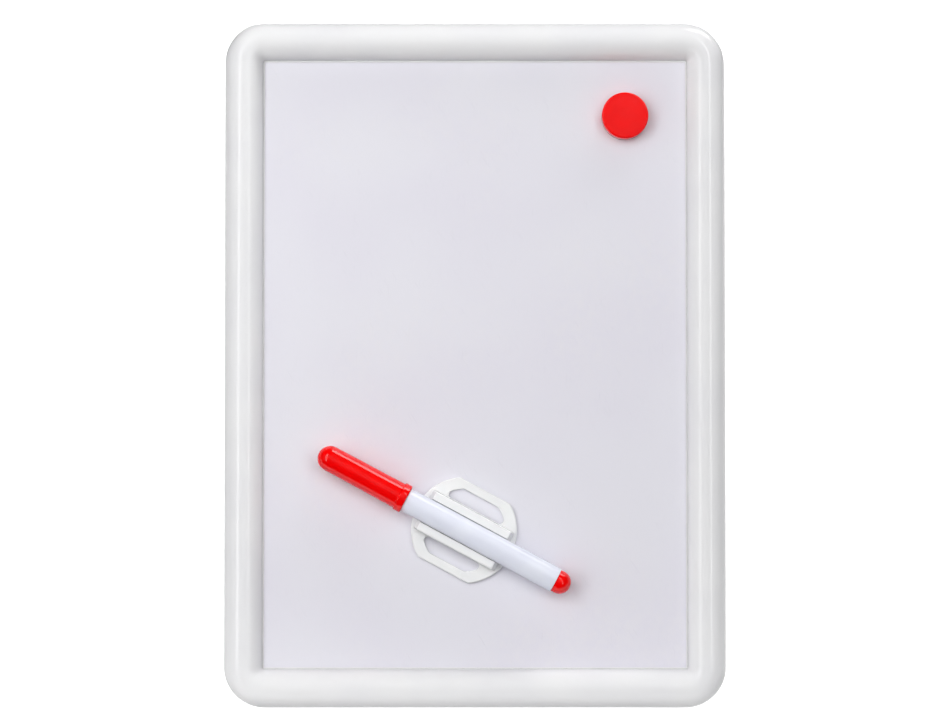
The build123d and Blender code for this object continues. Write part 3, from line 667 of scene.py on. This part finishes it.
FINISHES = {
    "frame_plastic": frame_plastic(),
    "painted_sheet": painted_sheet(),
    "hardboard": hardboard(),
    "cover_plastic": cover_plastic(),
    "zinc_screw": bare_metal("zinc_screw", paint(196, 198, 202), 0.32, 0.15, 0.004),
    "foot_rubber": foot_rubber(),
    "bracket_steel": bare_metal("bracket_steel", paint(190, 192, 196), 0.38, 0.2, 0.006),
    "rivet_metal": bare_metal("rivet_metal", paint(202, 203, 206), 0.34, 0.15, 0.004),
    "pin_steel": bare_metal("pin_steel", paint(178, 180, 184), 0.26, 0.12, 0.003),
    "leg_plastic": leg_plastic(),
    "red_plastic": red_plastic(),
    "ferrite": ferrite(),
    "holder_plastic": holder_plastic(),
    "barrel_plastic": barrel_plastic(),
    "felt_fibre": fibre_bundle("felt_fibre", paint(236, 232, 228), paint(208, 60, 60), 0.5),
    "nib_fibre": fibre_bundle("nib_fibre", paint(206, 24, 30), paint(128, 6, 12), 0.25),
    "liner_plastic": liner_plastic(),
}


def dress_nodes():
    """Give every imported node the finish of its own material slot."""
    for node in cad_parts.values():
        for slot in node.material_slots:
            name = slot.material.name.split(".")[0]
            slot.material = FINISHES[name]


# ---- shaping
def arc(centre, radius, start, end, steps):
    """Points on an arc, with its angles in degrees."""
    points = []
    for step in range(steps + 1):
        angle = math.radians(start + (end - start) * step / steps)
        points.append(
            (centre[0] + radius * math.cos(angle), centre[1] + radius * math.sin(angle))
        )
    return points


def rounded(corners, steps=5):
    """A polyline from (a, b, radius) corners, each rounded where its radius is not 0."""
    points = []
    count = len(corners)
    for index, (a, b, radius) in enumerate(corners):
        here = Vector((a, b))
        if radius <= 0:
            points.append((a, b))
            continue
        before = Vector(corners[(index - 1) % count][:2]) - here
        after = Vector(corners[(index + 1) % count][:2]) - here
        half = before.angle(after) / 2
        reach = radius / math.tan(half)
        middle = here + (before.normalized() + after.normalized()).normalized() * (
            radius / math.sin(half)
        )
        first = here + before.normalized() * reach - middle
        last = here + after.normalized() * reach - middle
        sweep = first.angle_signed(last)
        for step in range(steps + 1):
            turned = first.copy()
            turned.rotate(Matrix.Rotation(-sweep * step / steps, 2))
            points.append(tuple(middle + turned))
    return points


def clean_points(points, tolerance=1e-4):
    """Drop points that repeat the one before."""
    kept = [points[0]]
    for point in points[1:]:
        if math.dist(point, kept[-1]) > tolerance:
            kept.append(point)
    return kept


def mesh_object(name, mesh, place, slot, sharp=30.0):
    """Put a mesh where it belongs, shade it and give it its finish."""
    mesh.name = name
    mesh.transform(place)
    mesh.materials.clear()
    mesh.materials.append(FINISHES[slot])
    mesh.shade_smooth()
    mesh.set_sharp_from_angle(angle=math.radians(sharp))
    obj = bpy.data.objects.new(name, mesh)
    bpy.context.scene.collection.objects.link(obj)
    return obj


def lathe(points, steps=LATHE_STEPS):
    """Turn (s, radius) points in millimetres about the x axis, closing both ends."""
    mesh = bpy.data.meshes.new("lathe")
    work = bmesh.new()
    rings = []
    for s, radius in points:
        if radius < 1e-6:
            rings.append([work.verts.new(Vector((s, 0, 0)) * MM)])
            continue
        ring = []
        for step in range(steps):
            angle = 2 * math.pi * step / steps
            spot = Vector((s, radius * math.cos(angle), radius * math.sin(angle)))
            ring.append(work.verts.new(spot * MM))
        rings.append(ring)
    closed = len(rings[0]) > 1 and len(rings[-1]) > 1
    pairs = list(zip(rings, rings[1:]))
    if closed:
        pairs.append((rings[-1], rings[0]))
    for low, high in pairs:
        for step in range(steps):
            after = (step + 1) % steps
            if len(low) == 1 and len(high) == 1:
                continue
            if len(low) == 1:
                work.faces.new((low[0], high[after], high[step]))
            elif len(high) == 1:
                work.faces.new((low[step], low[after], high[0]))
            else:
                work.faces.new((low[step], low[after], high[after], high[step]))
    bmesh.ops.recalc_face_normals(work, faces=work.faces[:])
    work.to_mesh(mesh)
    work.free()
    return mesh


# ---- Geometry Nodes
def geometry_tree(name, inputs):
    """An empty geometry tree with named inputs, its net and its given sockets."""
    tree = bpy.data.node_groups.new(name, "GeometryNodeTree")
    tree.interface.new_socket(
        name="Geometry", in_out="INPUT", socket_type="NodeSocketGeometry"
    )
    tree.interface.new_socket(
        name="Geometry", in_out="OUTPUT", socket_type="NodeSocketGeometry"
    )
    for label, kind in inputs.items():
        tree.interface.new_socket(name=label, in_out="INPUT", socket_type=kind)
    net = Net(tree)
    return net, net.add("NodeGroupInput").outputs, net.add("NodeGroupOutput").inputs


def grow(tree, host_mesh, values):
    """Run a geometry tree on a host mesh with its inputs set, and return a plain mesh."""
    host = bpy.data.objects.new("host", host_mesh)
    bpy.context.scene.collection.objects.link(host)
    modifier = host.modifiers.new("grow", "NODES")
    modifier.node_group = tree
    sockets = {
        item.name: item.identifier
        for item in tree.interface.items_tree
        if item.item_type == "SOCKET" and item.in_out == "INPUT"
    }
    for label, value in values.items():
        modifier[sockets[label]] = value
    depsgraph = bpy.context.evaluated_depsgraph_get()
    mesh = bpy.data.meshes.new_from_object(host.evaluated_get(depsgraph))
    host.modifiers.clear()
    bpy.data.objects.remove(host)
    return mesh


def section_curve(points):
    """A closed section as a curve object, from (inward, outward) points in millimetres."""
    curve = bpy.data.curves.new("section", "CURVE")
    curve.dimensions = "3D"
    spline = curve.splines.new("POLY")
    spline.points.add(len(points) - 1)
    for spot, (inward, outward) in zip(spline.points, points):
        spot.co = (-inward * MM, -outward * MM, 0, 1)
    spline.use_cyclic_u = True
    obj = bpy.data.objects.new("section", curve)
    bpy.context.scene.collection.objects.link(obj)
    return obj


def make_round_frame_tree():
    """Sweeps a section round a rectangle with rounded corners."""
    inputs = {
        "Width": "NodeSocketFloat",
        "Height": "NodeSocketFloat",
        "Corner Radius": "NodeSocketFloat",
        "Corner Steps": "NodeSocketInt",
        "Section": "NodeSocketObject",
        "Finish": "NodeSocketMaterial",
    }
    net, given, result = geometry_tree("round_frame", inputs)
    path = net.add("GeometryNodeCurvePrimitiveQuadrilateral")
    net.put(path.inputs["Width"], given["Width"])
    net.put(path.inputs["Height"], given["Height"])
    bend = net.add("GeometryNodeFilletCurve", mode="POLY")
    net.put(bend.inputs["Curve"], path.outputs[0])
    net.put(bend.inputs["Count"], given["Corner Steps"])
    net.put(bend.inputs["Radius"], given["Corner Radius"])
    upright = net.add("GeometryNodeSetCurveNormal", {"Curve": bend.outputs[0]}, mode="Z_UP")
    section = net.add("GeometryNodeObjectInfo", {"Object": given["Section"]})
    sweep = net.add("GeometryNodeCurveToMesh", {"Curve": upright.outputs[0]})
    net.put(sweep.inputs["Profile Curve"], section.outputs["Geometry"])
    real = net.add("GeometryNodeRealizeInstances", {"Geometry": sweep.outputs[0]})
    dressed = net.add("GeometryNodeSetMaterial", {"Geometry": real.outputs[0]})
    net.put(dressed.inputs["Material"], given["Finish"])
    net.put(result["Geometry"], dressed.outputs[0])
    return net.tree


def make_on_spots_tree():
    """Sets a copy of a fastener on each point of the host, each turned a little further."""
    inputs = {
        "Fastener": "NodeSocketObject",
        "Turn Each": "NodeSocketFloat",
        "Finish": "NodeSocketMaterial",
    }
    net, given, result = geometry_tree("fasteners_on_spots", inputs)
    count = net.add("GeometryNodeInputIndex").outputs[0]
    later = net.math("ADD", count, 1.0)
    turn = net.math("MULTIPLY", later, given["Turn Each"])
    angles = net.add("ShaderNodeCombineXYZ", {"Z": turn})
    shape = net.add("GeometryNodeObjectInfo", {"Object": given["Fastener"]})
    points = net.add("GeometryNodeMeshToPoints", {"Mesh": given["Geometry"]})
    placed = net.add("GeometryNodeInstanceOnPoints", {"Points": points.outputs[0]})
    net.put(placed.inputs["Instance"], shape.outputs["Geometry"])
    net.put(placed.inputs["Rotation"], angles.outputs[0])
    real = net.add("GeometryNodeRealizeInstances", {"Geometry": placed.outputs[0]})
    dressed = net.add("GeometryNodeSetMaterial", {"Geometry": real.outputs[0]})
    net.put(dressed.inputs["Material"], given["Finish"])
    net.put(result["Geometry"], dressed.outputs[0])
    return net.tree


ROUND_FRAME = make_round_frame_tree()
ON_SPOTS = make_on_spots_tree()


def turned_out(mesh):
    """Merge doubles and point every face outwards."""
    work = bmesh.new()
    work.from_mesh(mesh)
    bmesh.ops.remove_doubles(work, verts=work.verts[:], dist=1e-7)
    bmesh.ops.recalc_face_normals(work, faces=work.faces[:])
    work.to_mesh(mesh)
    work.free()
    return mesh


def set_on_spots(fastener_mesh, spots, turn_each, slot):
    """Copies of a fastener on (x, y) spots in millimetres."""
    fastener = bpy.data.objects.new("fastener", fastener_mesh)
    bpy.context.scene.collection.objects.link(fastener)
    host = bpy.data.meshes.new("spots")
    host.from_pydata([(x * MM, y * MM, 0) for x, y in spots], [], [])
    values = {"Fastener": fastener, "Turn Each": turn_each, "Finish": FINISHES[slot]}
    mesh = grow(ON_SPOTS, host, values)
    bpy.data.objects.remove(fastener)
    return mesh


# ---- bezel
def bezel_section():
    """The hollow bullnose bar with its lip, as (inward, outward) from the bar's middle."""
    radius = BAR_WIDTH / 2
    middle = BAR_CROWN - radius
    foot_angle = math.degrees(math.asin((LIP_FOOT - middle) / radius))
    wall = radius - BEZEL_WALL
    seat = BAR_WIDTH / 2 - LIP_COVER
    outside = []
    for inward, outward in arc((0, middle), radius, 180.0, foot_angle, ARC_STEPS):
        reach = radius + CROWN_SHIFT if inward < 0 else radius - CROWN_SHIFT
        outside.append((CROWN_SHIFT + inward / radius * reach, outward))
    groove = BAR_WIDTH / 2 + LIP_CREASE
    lip = groove + LIP_LAND
    foot = rounded(
        [
            (*outside[-1], 0),
            (BAR_WIDTH / 2 + 0.02, LIP_CREASE_FLOOR, 0.12),
            (groove, LIP_CREASE_FLOOR, 0.12),
            (groove, LIP_LAND_HEIGHT, 0.1),
            (lip, LIP_LAND_HEIGHT, LIP_LAND_EDGE),
            (lip, 0, 0),
            (seat, 0, 0),
        ]
    )
    under = arc((0, middle), wall, 0.0, 180.0, ARC_STEPS // 2)
    under = [point for point in under if point[0] < seat]
    rim = rounded(
        [
            (-wall, middle, 0),
            (-wall, -REAR_DEPTH, RIM_ROUND),
            (-radius, -REAR_DEPTH, RIM_ROUND),
            (-radius, middle - WITNESS_WIDTH, 0),
            (-radius + WITNESS_DEPTH, middle - WITNESS_WIDTH / 2, 0),
        ]
    )
    return clean_points(outside + foot[1:] + under + rim)


def make_bezel():
    section = section_curve(bezel_section())
    values = {
        "Width": (WIDTH - BAR_WIDTH) * MM,
        "Height": (HEIGHT - BAR_WIDTH) * MM,
        "Corner Radius": (CORNER_RADIUS - BAR_WIDTH / 2) * MM,
        "Corner Steps": CORNER_STEPS,
        "Section": section,
        "Finish": FINISHES["frame_plastic"],
    }
    mesh = turned_out(grow(ROUND_FRAME, bpy.data.meshes.new("empty"), values))
    bpy.data.objects.remove(section)
    middle = on_face(0, HEIGHT / 2)
    bezel = mesh_object("bezel_moulding", mesh, middle, "frame_plastic", 35.0)
    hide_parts("frame_bezel")
    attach(bezel, "board")


# ---- fasteners
def boolean_cut(body, cutter):
    """Cut one mesh out of another and return the result."""
    kept = bpy.data.objects.new("kept", body)
    tool = bpy.data.objects.new("tool", cutter)
    for obj in (kept, tool):
        bpy.context.scene.collection.objects.link(obj)
    cut = kept.modifiers.new("cut", "BOOLEAN")
    cut.operation = "DIFFERENCE"
    cut.solver = "EXACT"
    cut.object = tool
    depsgraph = bpy.context.evaluated_depsgraph_get()
    mesh = bpy.data.meshes.new_from_object(kept.evaluated_get(depsgraph))
    for obj in (kept, tool):
        bpy.data.objects.remove(obj)
    return mesh


def cross_recess():
    """A tapered cross that cuts the driver's recess, pointing down -z from the head's top."""
    mesh = bpy.data.meshes.new("recess")
    work = bmesh.new()
    top = SCREW_HEAD_HEIGHT + 0.2
    floor = SCREW_HEAD_HEIGHT - RECESS_DEPTH
    outline = []
    half = RECESS_WIDTH / 2
    reach = RECESS_REACH
    for quarter in range(4):
        turn = Matrix.Rotation(quarter * math.pi / 2, 2)
        for x, y in ((reach, -half), (reach, half), (half, half)):
            outline.append(turn @ Vector((x, y)))
    upper = [work.verts.new((p.x * MM, p.y * MM, top * MM)) for p in outline]
    small = [point * RECESS_TAPER for point in outline]
    lower = [work.verts.new((p.x * MM, p.y * MM, floor * MM)) for p in small]
    work.faces.new(upper)
    work.faces.new(list(reversed(lower)))
    count = len(outline)
    for index in range(count):
        after = (index + 1) % count
        work.faces.new((upper[index], lower[index], lower[after], upper[after]))
    bmesh.ops.recalc_face_normals(work, faces=work.faces[:])
    work.to_mesh(mesh)
    work.free()
    return mesh


def upright_lathe(points, steps):
    """A lathe about the z axis from (z, radius) points."""
    mesh = lathe(points, steps)
    mesh.transform(Matrix.Rotation(-math.pi / 2, 4, "Y"))
    return mesh


def screw_mesh():
    """A domed pan head with a cross recess, a washer face and a threaded shank."""
    points = rounded(
        [
            (SCREW_HEAD_HEIGHT, 0, 0),
            (SCREW_HEAD_HEIGHT, SCREW_HEAD_RADIUS, SCREW_HEAD_ROUND),
            (0.0, SCREW_HEAD_RADIUS, 0.12),
            (0.0, SCREW_RADIUS, 0),
        ],
        8,
    )
    turns = int((SCREW_LENGTH - 1.2) / THREAD_PITCH)
    for turn in range(turns):
        depth = -0.4 - turn * THREAD_PITCH
        points += [(depth, SCREW_RADIUS - THREAD_DEPTH), (depth - THREAD_PITCH / 2, SCREW_RADIUS)]
    points += [(-SCREW_LENGTH + 0.7, SCREW_RADIUS - 0.3), (-SCREW_LENGTH, 0)]
    return boolean_cut(upright_lathe(points, 40), cross_recess())


def rivet_mesh():
    """A domed head, a shank and a set tail."""
    points = rounded(
        [
            (RIVET_HEAD_HEIGHT, 0, 0),
            (RIVET_HEAD_HEIGHT, RIVET_HEAD_RADIUS, RIVET_HEAD_ROUND),
            (0.0, RIVET_HEAD_RADIUS, 0),
            (0.0, RIVET_RADIUS, 0),
        ],
        8,
    )
    points += [(-RIVET_GRIP, RIVET_RADIUS)]
    points += [(-RIVET_GRIP, RIVET_TAIL_RADIUS - 0.2), (-RIVET_GRIP - 0.2, RIVET_TAIL_RADIUS)]
    points += [(-RIVET_GRIP - RIVET_TAIL_HEIGHT, RIVET_TAIL_RADIUS - 0.3)]
    points += [(-RIVET_GRIP - RIVET_TAIL_HEIGHT, 0)]
    return upright_lathe(points, 32)


def screw_spots():
    """The corners and two spots along each long side, from the middle of the board."""
    corner = CORNER_RADIUS - (CORNER_RADIUS - SCREW_INSET) / math.sqrt(2)
    spots = []
    for side in (-1, 1):
        for end in (-1, 1):
            spots.append((side * (WIDTH / 2 - corner), end * (HEIGHT / 2 - corner)))
            spots.append((side * (WIDTH / 2 - SCREW_INSET), end * SIDE_SCREW_SPREAD / 2))
    return spots


def rear_face(depth, height):
    """A frame on the back that faces backwards, with x mirrored to stay right-handed."""
    place = BOARD @ Matrix.Translation(Vector((0, depth, height)) * MM)
    return place @ Matrix.Rotation(-math.pi / 2, 4, "X")


def make_cover_screws():
    mesh = set_on_spots(screw_mesh(), screw_spots(), SCREW_TURN, "zinc_screw")
    place = rear_face(COVER_REAR, HEIGHT / 2)
    screws = mesh_object("cover_screw_set", mesh, place, "zinc_screw", 40.0)
    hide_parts("cover_screws")
    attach(screws, "board")


def make_bracket_rivets():
    spots = []
    for side in (-1, 1):
        for row in (-1, 1):
            spots.append((side * RIVET_X, row * RIVET_SPACING / 2))
    mesh = set_on_spots(rivet_mesh(), spots, 0.0, "rivet_metal")
    place = rear_face(COVER_REAR + BRACKET_THICKNESS, HINGE_HEIGHT)
    rivets = mesh_object("bracket_rivet_set", mesh, place, "rivet_metal", 40.0)
    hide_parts("bracket_rivets")
    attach(rivets, "board")


# ---- magnet
def make_magnet_casing():
    """The red casing: a disc with a rounded rim and a pocket for the magnet behind."""
    top = MAGNET_THICKNESS
    corners = [
        (MAGNET_POCKET_DEPTH, MAGNET_POCKET_RADIUS, 0.1),
        (0.0, MAGNET_POCKET_RADIUS, 0.1),
        (0.0, MAGNET_RADIUS, 0.25),
        (top, MAGNET_RADIUS, MAGNET_EDGE),
    ]
    outline = [(MAGNET_POCKET_DEPTH, 0.0, 0)] + corners + [(top, 0.0, 0)]
    profile = clean_points(rounded(outline, 8))
    casing = mesh_object(
        "magnet_casing", upright_lathe(profile, 128), MAGNET, "red_plastic", 35.0
    )
    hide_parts("magnet_shell")
    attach(casing, "button_magnet")


# ---- marker
def make_marker_tube():
    """The white barrel with its neck, snap bead and tapered nose."""
    foot = CAP_LENGTH - NECK_LENGTH
    tip = foot - NOSE_LENGTH
    end = CAP_LENGTH + BARREL_LENGTH
    chamber = CAP_LENGTH + SHOULDER_WALL
    chamber_radius = BARREL_RADIUS - BARREL_WALL
    bead = foot + NECK_LENGTH / 2
    corners = [
        (tip, NIB_BORE, 0.08),
        (tip, NOSE_TIP_RADIUS, NOSE_EDGE),
        (foot, NOSE_FOOT_RADIUS, 0.1),
        (foot, NECK_RADIUS, 0.12),
        (bead - 0.5, NECK_RADIUS, 0),
        (bead, NECK_RADIUS + NECK_BEAD, 0.5),
        (bead + 0.5, NECK_RADIUS, 0),
        (CAP_LENGTH, NECK_RADIUS, 0.1),
        (CAP_LENGTH, BARREL_RADIUS, BARREL_EDGE),
        (end, BARREL_END_RADIUS, BARREL_EDGE),
        (end, chamber_radius, 0.1),
        (chamber, chamber_radius, 0.2),
        (chamber, NIB_BORE, 0.1),
    ]
    tube = mesh_object(
        "marker_tube", lathe(clean_points(rounded(corners))), PEN, "barrel_plastic", 35.0
    )
    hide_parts("marker_barrel")
    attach(tube, "marker")


def make_end_plug():
    """The red domed plug with its spigot."""
    start = CAP_LENGTH + BARREL_LENGTH
    dome = start + PLUG_STRAIGHT
    spigot = BARREL_RADIUS - BARREL_WALL - FIT_GAP
    bore = spigot - PLUG_SPIGOT_WALL
    points = arc((dome, 0), PLUG_RADIUS, 0.0, 90.0, 24)
    corners = [
        (dome, PLUG_RADIUS, 0),
        (start, PLUG_RADIUS, PLUG_EDGE),
        (start, spigot, 0),
        (start - PLUG_SPIGOT, spigot, 0.4),
        (start - PLUG_SPIGOT, bore, 0.1),
        (start, bore, 0.2),
        (start, 0.0, 0),
    ]
    profile = clean_points(points + rounded(corners))
    plug = mesh_object("marker_plug", lathe(profile), PEN, "red_plastic", 35.0)
    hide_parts("marker_end_plug")
    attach(plug, "marker")


def make_cap():
    """The red cap: domed tip, slow taper and rounded collar, with its bore."""
    tip = arc((CAP_RADIUS, 0), CAP_RADIUS, 180.0, 90.0, 28)
    collar = CAP_LENGTH - COLLAR_LENGTH
    corners = [
        (*tip[-1], 0),
        (collar, CAP_MOUTH_RADIUS, 0.2),
        (collar, COLLAR_RADIUS, COLLAR_EDGE),
        (CAP_LENGTH, COLLAR_RADIUS, COLLAR_EDGE),
        (CAP_LENGTH, CAP_BORE, 0.2),
        (LINER_START, CAP_BORE, 0),
        (LINER_START, CAP_BORE - LINER_SEAT, 0),
        (CAP_TIP_WALL, CAP_TIP_BORE, 0.3),
        (CAP_TIP_WALL, 0.0, 0),
    ]
    profile = clean_points(tip + rounded(corners)[1:])
    cap = mesh_object("marker_cap_moulding", lathe(profile), PEN, "red_plastic", 35.0)
    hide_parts("marker_cap")
    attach(cap, "cap")


# ---- stage, light and camera
def stage_material(name, colour, glow):
    """A matt floor whose lit parts read as white to the camera, with its shadows kept."""
    material = blank_material(name)
    net = Net(material.node_tree)
    matt = net.add("ShaderNodeBsdfDiffuse", {"Color": colour})
    place = net.add("ShaderNodeTexCoord").outputs["Object"]
    reach = net.add("ShaderNodeVectorMath", {0: place}, operation="LENGTH").outputs["Value"]
    shine = net.add("ShaderNodeEmission", {"Color": (1, 1, 1, 1)})
    net.put(shine.inputs["Strength"], net.ramp(reach, FADE_START, FADE_END, glow, 1.0))
    path = net.add("ShaderNodeLightPath").outputs
    seen = net.math("MAXIMUM", path["Is Camera Ray"], path["Is Glossy Ray"])
    seen = net.math("MAXIMUM", seen, path["Is Transmission Ray"])
    both = net.add("ShaderNodeAddShader")
    net.put(both.inputs[0], matt.outputs[0])
    net.put(both.inputs[1], shine.outputs[0])
    pick = net.add("ShaderNodeMixShader", {"Fac": seen})
    net.put(pick.inputs[1], matt.outputs[0])
    net.put(pick.inputs[2], both.outputs[0])
    output = net.add("ShaderNodeOutputMaterial")
    net.put(output.inputs["Surface"], pick.outputs[0])
    return material


def black_card_material():
    """A card that gives no light back."""
    material = blank_material("black_card")
    net = Net(material.node_tree)
    matt = net.add("ShaderNodeBsdfDiffuse", {"Color": (0, 0, 0, 1)})
    output = net.add("ShaderNodeOutputMaterial")
    net.put(output.inputs["Surface"], matt.outputs[0])
    return material


def level_card(name, back, height, material):
    """A wide level card, from far in front to a given rear edge, that is no part of the object."""
    mesh = bpy.data.meshes.new(name)
    corners = [(-1, -FLOOR_REACH), (1, -FLOOR_REACH), (1, back), (-1, back)]
    corners = [(side * FLOOR_REACH, y, height) for side, y in corners]
    mesh.from_pydata(corners, [], [(0, 1, 2, 3)])
    mesh.materials.append(material)
    card = bpy.data.objects.new(name, mesh)
    bpy.context.scene.collection.objects.link(card)
    return card


def make_floor():
    """A pale floor, with an unseen black card in front that keeps its glare off the object."""
    pale = stage_material("pale_floor", paint(192, 192, 192), FLOOR_GLOW)
    level_card("studio_floor", FLOOR_REACH, 0.0, pale)
    flag = level_card("black_flag", -FLAG_EDGE, FLAG_LIFT, black_card_material())
    flag.visible_camera = False
    flag.visible_shadow = False


def make_world():
    """White behind the object for the camera, and a dim room for the light."""
    world = bpy.data.worlds.new("studio")
    bpy.context.scene.world = world
    world.use_nodes = True
    net = Net(world.node_tree)
    net.tree.nodes.clear()
    way = net.add("ShaderNodeTexCoord").outputs["Generated"]
    axes = net.add("ShaderNodeSeparateXYZ", {0: way}).outputs
    behind = net.ramp(axes["Y"], BACKDROP_EDGE, BACKDROP_FULL)
    path = net.add("ShaderNodeLightPath").outputs
    mirrored = net.math("MAXIMUM", path["Is Glossy Ray"], path["Is Transmission Ray"])
    mirrored = net.math("MULTIPLY", mirrored, behind)
    white = net.math("MAXIMUM", path["Is Camera Ray"], mirrored)
    strength = net.add("ShaderNodeMix", data_type="FLOAT")
    net.put(strength.inputs[0], white)
    net.put(strength.inputs[2], ROOM_BASE)
    net.put(strength.inputs[3], 1.0)
    sky = net.add("ShaderNodeBackground", {"Color": (1, 1, 1, 1)})
    net.put(sky.inputs["Strength"], strength.outputs[0])
    output = net.add("ShaderNodeOutputWorld")
    net.put(output.inputs["Surface"], sky.outputs[0])


def softbox(name, radiance, width, height, place, target, mirrored=True):
    """A rectangular lamp of a given brightness, aimed at a target."""
    lamp = bpy.data.lights.new(name, "AREA")
    lamp.shape = "RECTANGLE"
    lamp.size = width
    lamp.size_y = height
    lamp.energy = radiance * math.pi * width * height
    obj = bpy.data.objects.new(name, lamp)
    obj.location = place
    obj.rotation_euler = (Vector(place) - Vector(target)).to_track_quat("Z", "Y").to_euler()
    obj.visible_camera = False
    obj.visible_glossy = mirrored
    bpy.context.scene.collection.objects.link(obj)


def make_lights():
    """Strips for the glints on the frame, soft washes for the shade, one lamp behind."""
    middle = FACE @ (Vector((0, HEIGHT / 2, 0)) * MM)
    right = Vector((1, 0, 0))
    up = (FACE.to_3x3() @ Vector((0, 1, 0))).normalized()
    out = (FACE.to_3x3() @ Vector((0, 0, 1))).normalized()
    for name, (radiance, width, height, (x, y, z), mirrored) in LAMPS.items():
        place = middle + right * x + up * y + out * z
        softbox(name, radiance, width, height, place, middle, mirrored)
    softbox("rear", REAR_RADIANCE, REAR_WIDTH, REAR_HEIGHT, REAR_PLACE, middle)


def make_camera():
    middle = FACE @ (Vector((0, HEIGHT / 2, 0)) * MM)
    up = (FACE.to_3x3() @ Vector((0, 1, 0))).normalized()
    aim = middle + up * CAMERA_AIM_UP * MM
    back = Vector((0, -math.cos(CAMERA_ELEVATION), math.sin(CAMERA_ELEVATION)))
    camera = bpy.data.cameras.new("camera")
    camera.sensor_width = SENSOR
    camera.lens = SENSOR * CAMERA_DISTANCE / (VIEW_WIDTH * MM)
    camera.clip_start = 0.05
    obj = bpy.data.objects.new("camera", camera)
    obj.location = aim + back * CAMERA_DISTANCE
    obj.rotation_euler = back.to_track_quat("Z", "Y").to_euler()
    bpy.context.scene.collection.objects.link(obj)
    bpy.context.scene.camera = obj


make_camera()
dress_nodes()
make_bezel()
make_cover_screws()
make_bracket_rivets()
make_magnet_casing()
make_marker_tube()
make_end_plug()
make_cap()
make_floor()
make_world()
make_lights()
bpy.context.scene.view_settings.view_transform = "Standard"
bpy.context.view_layer.update()
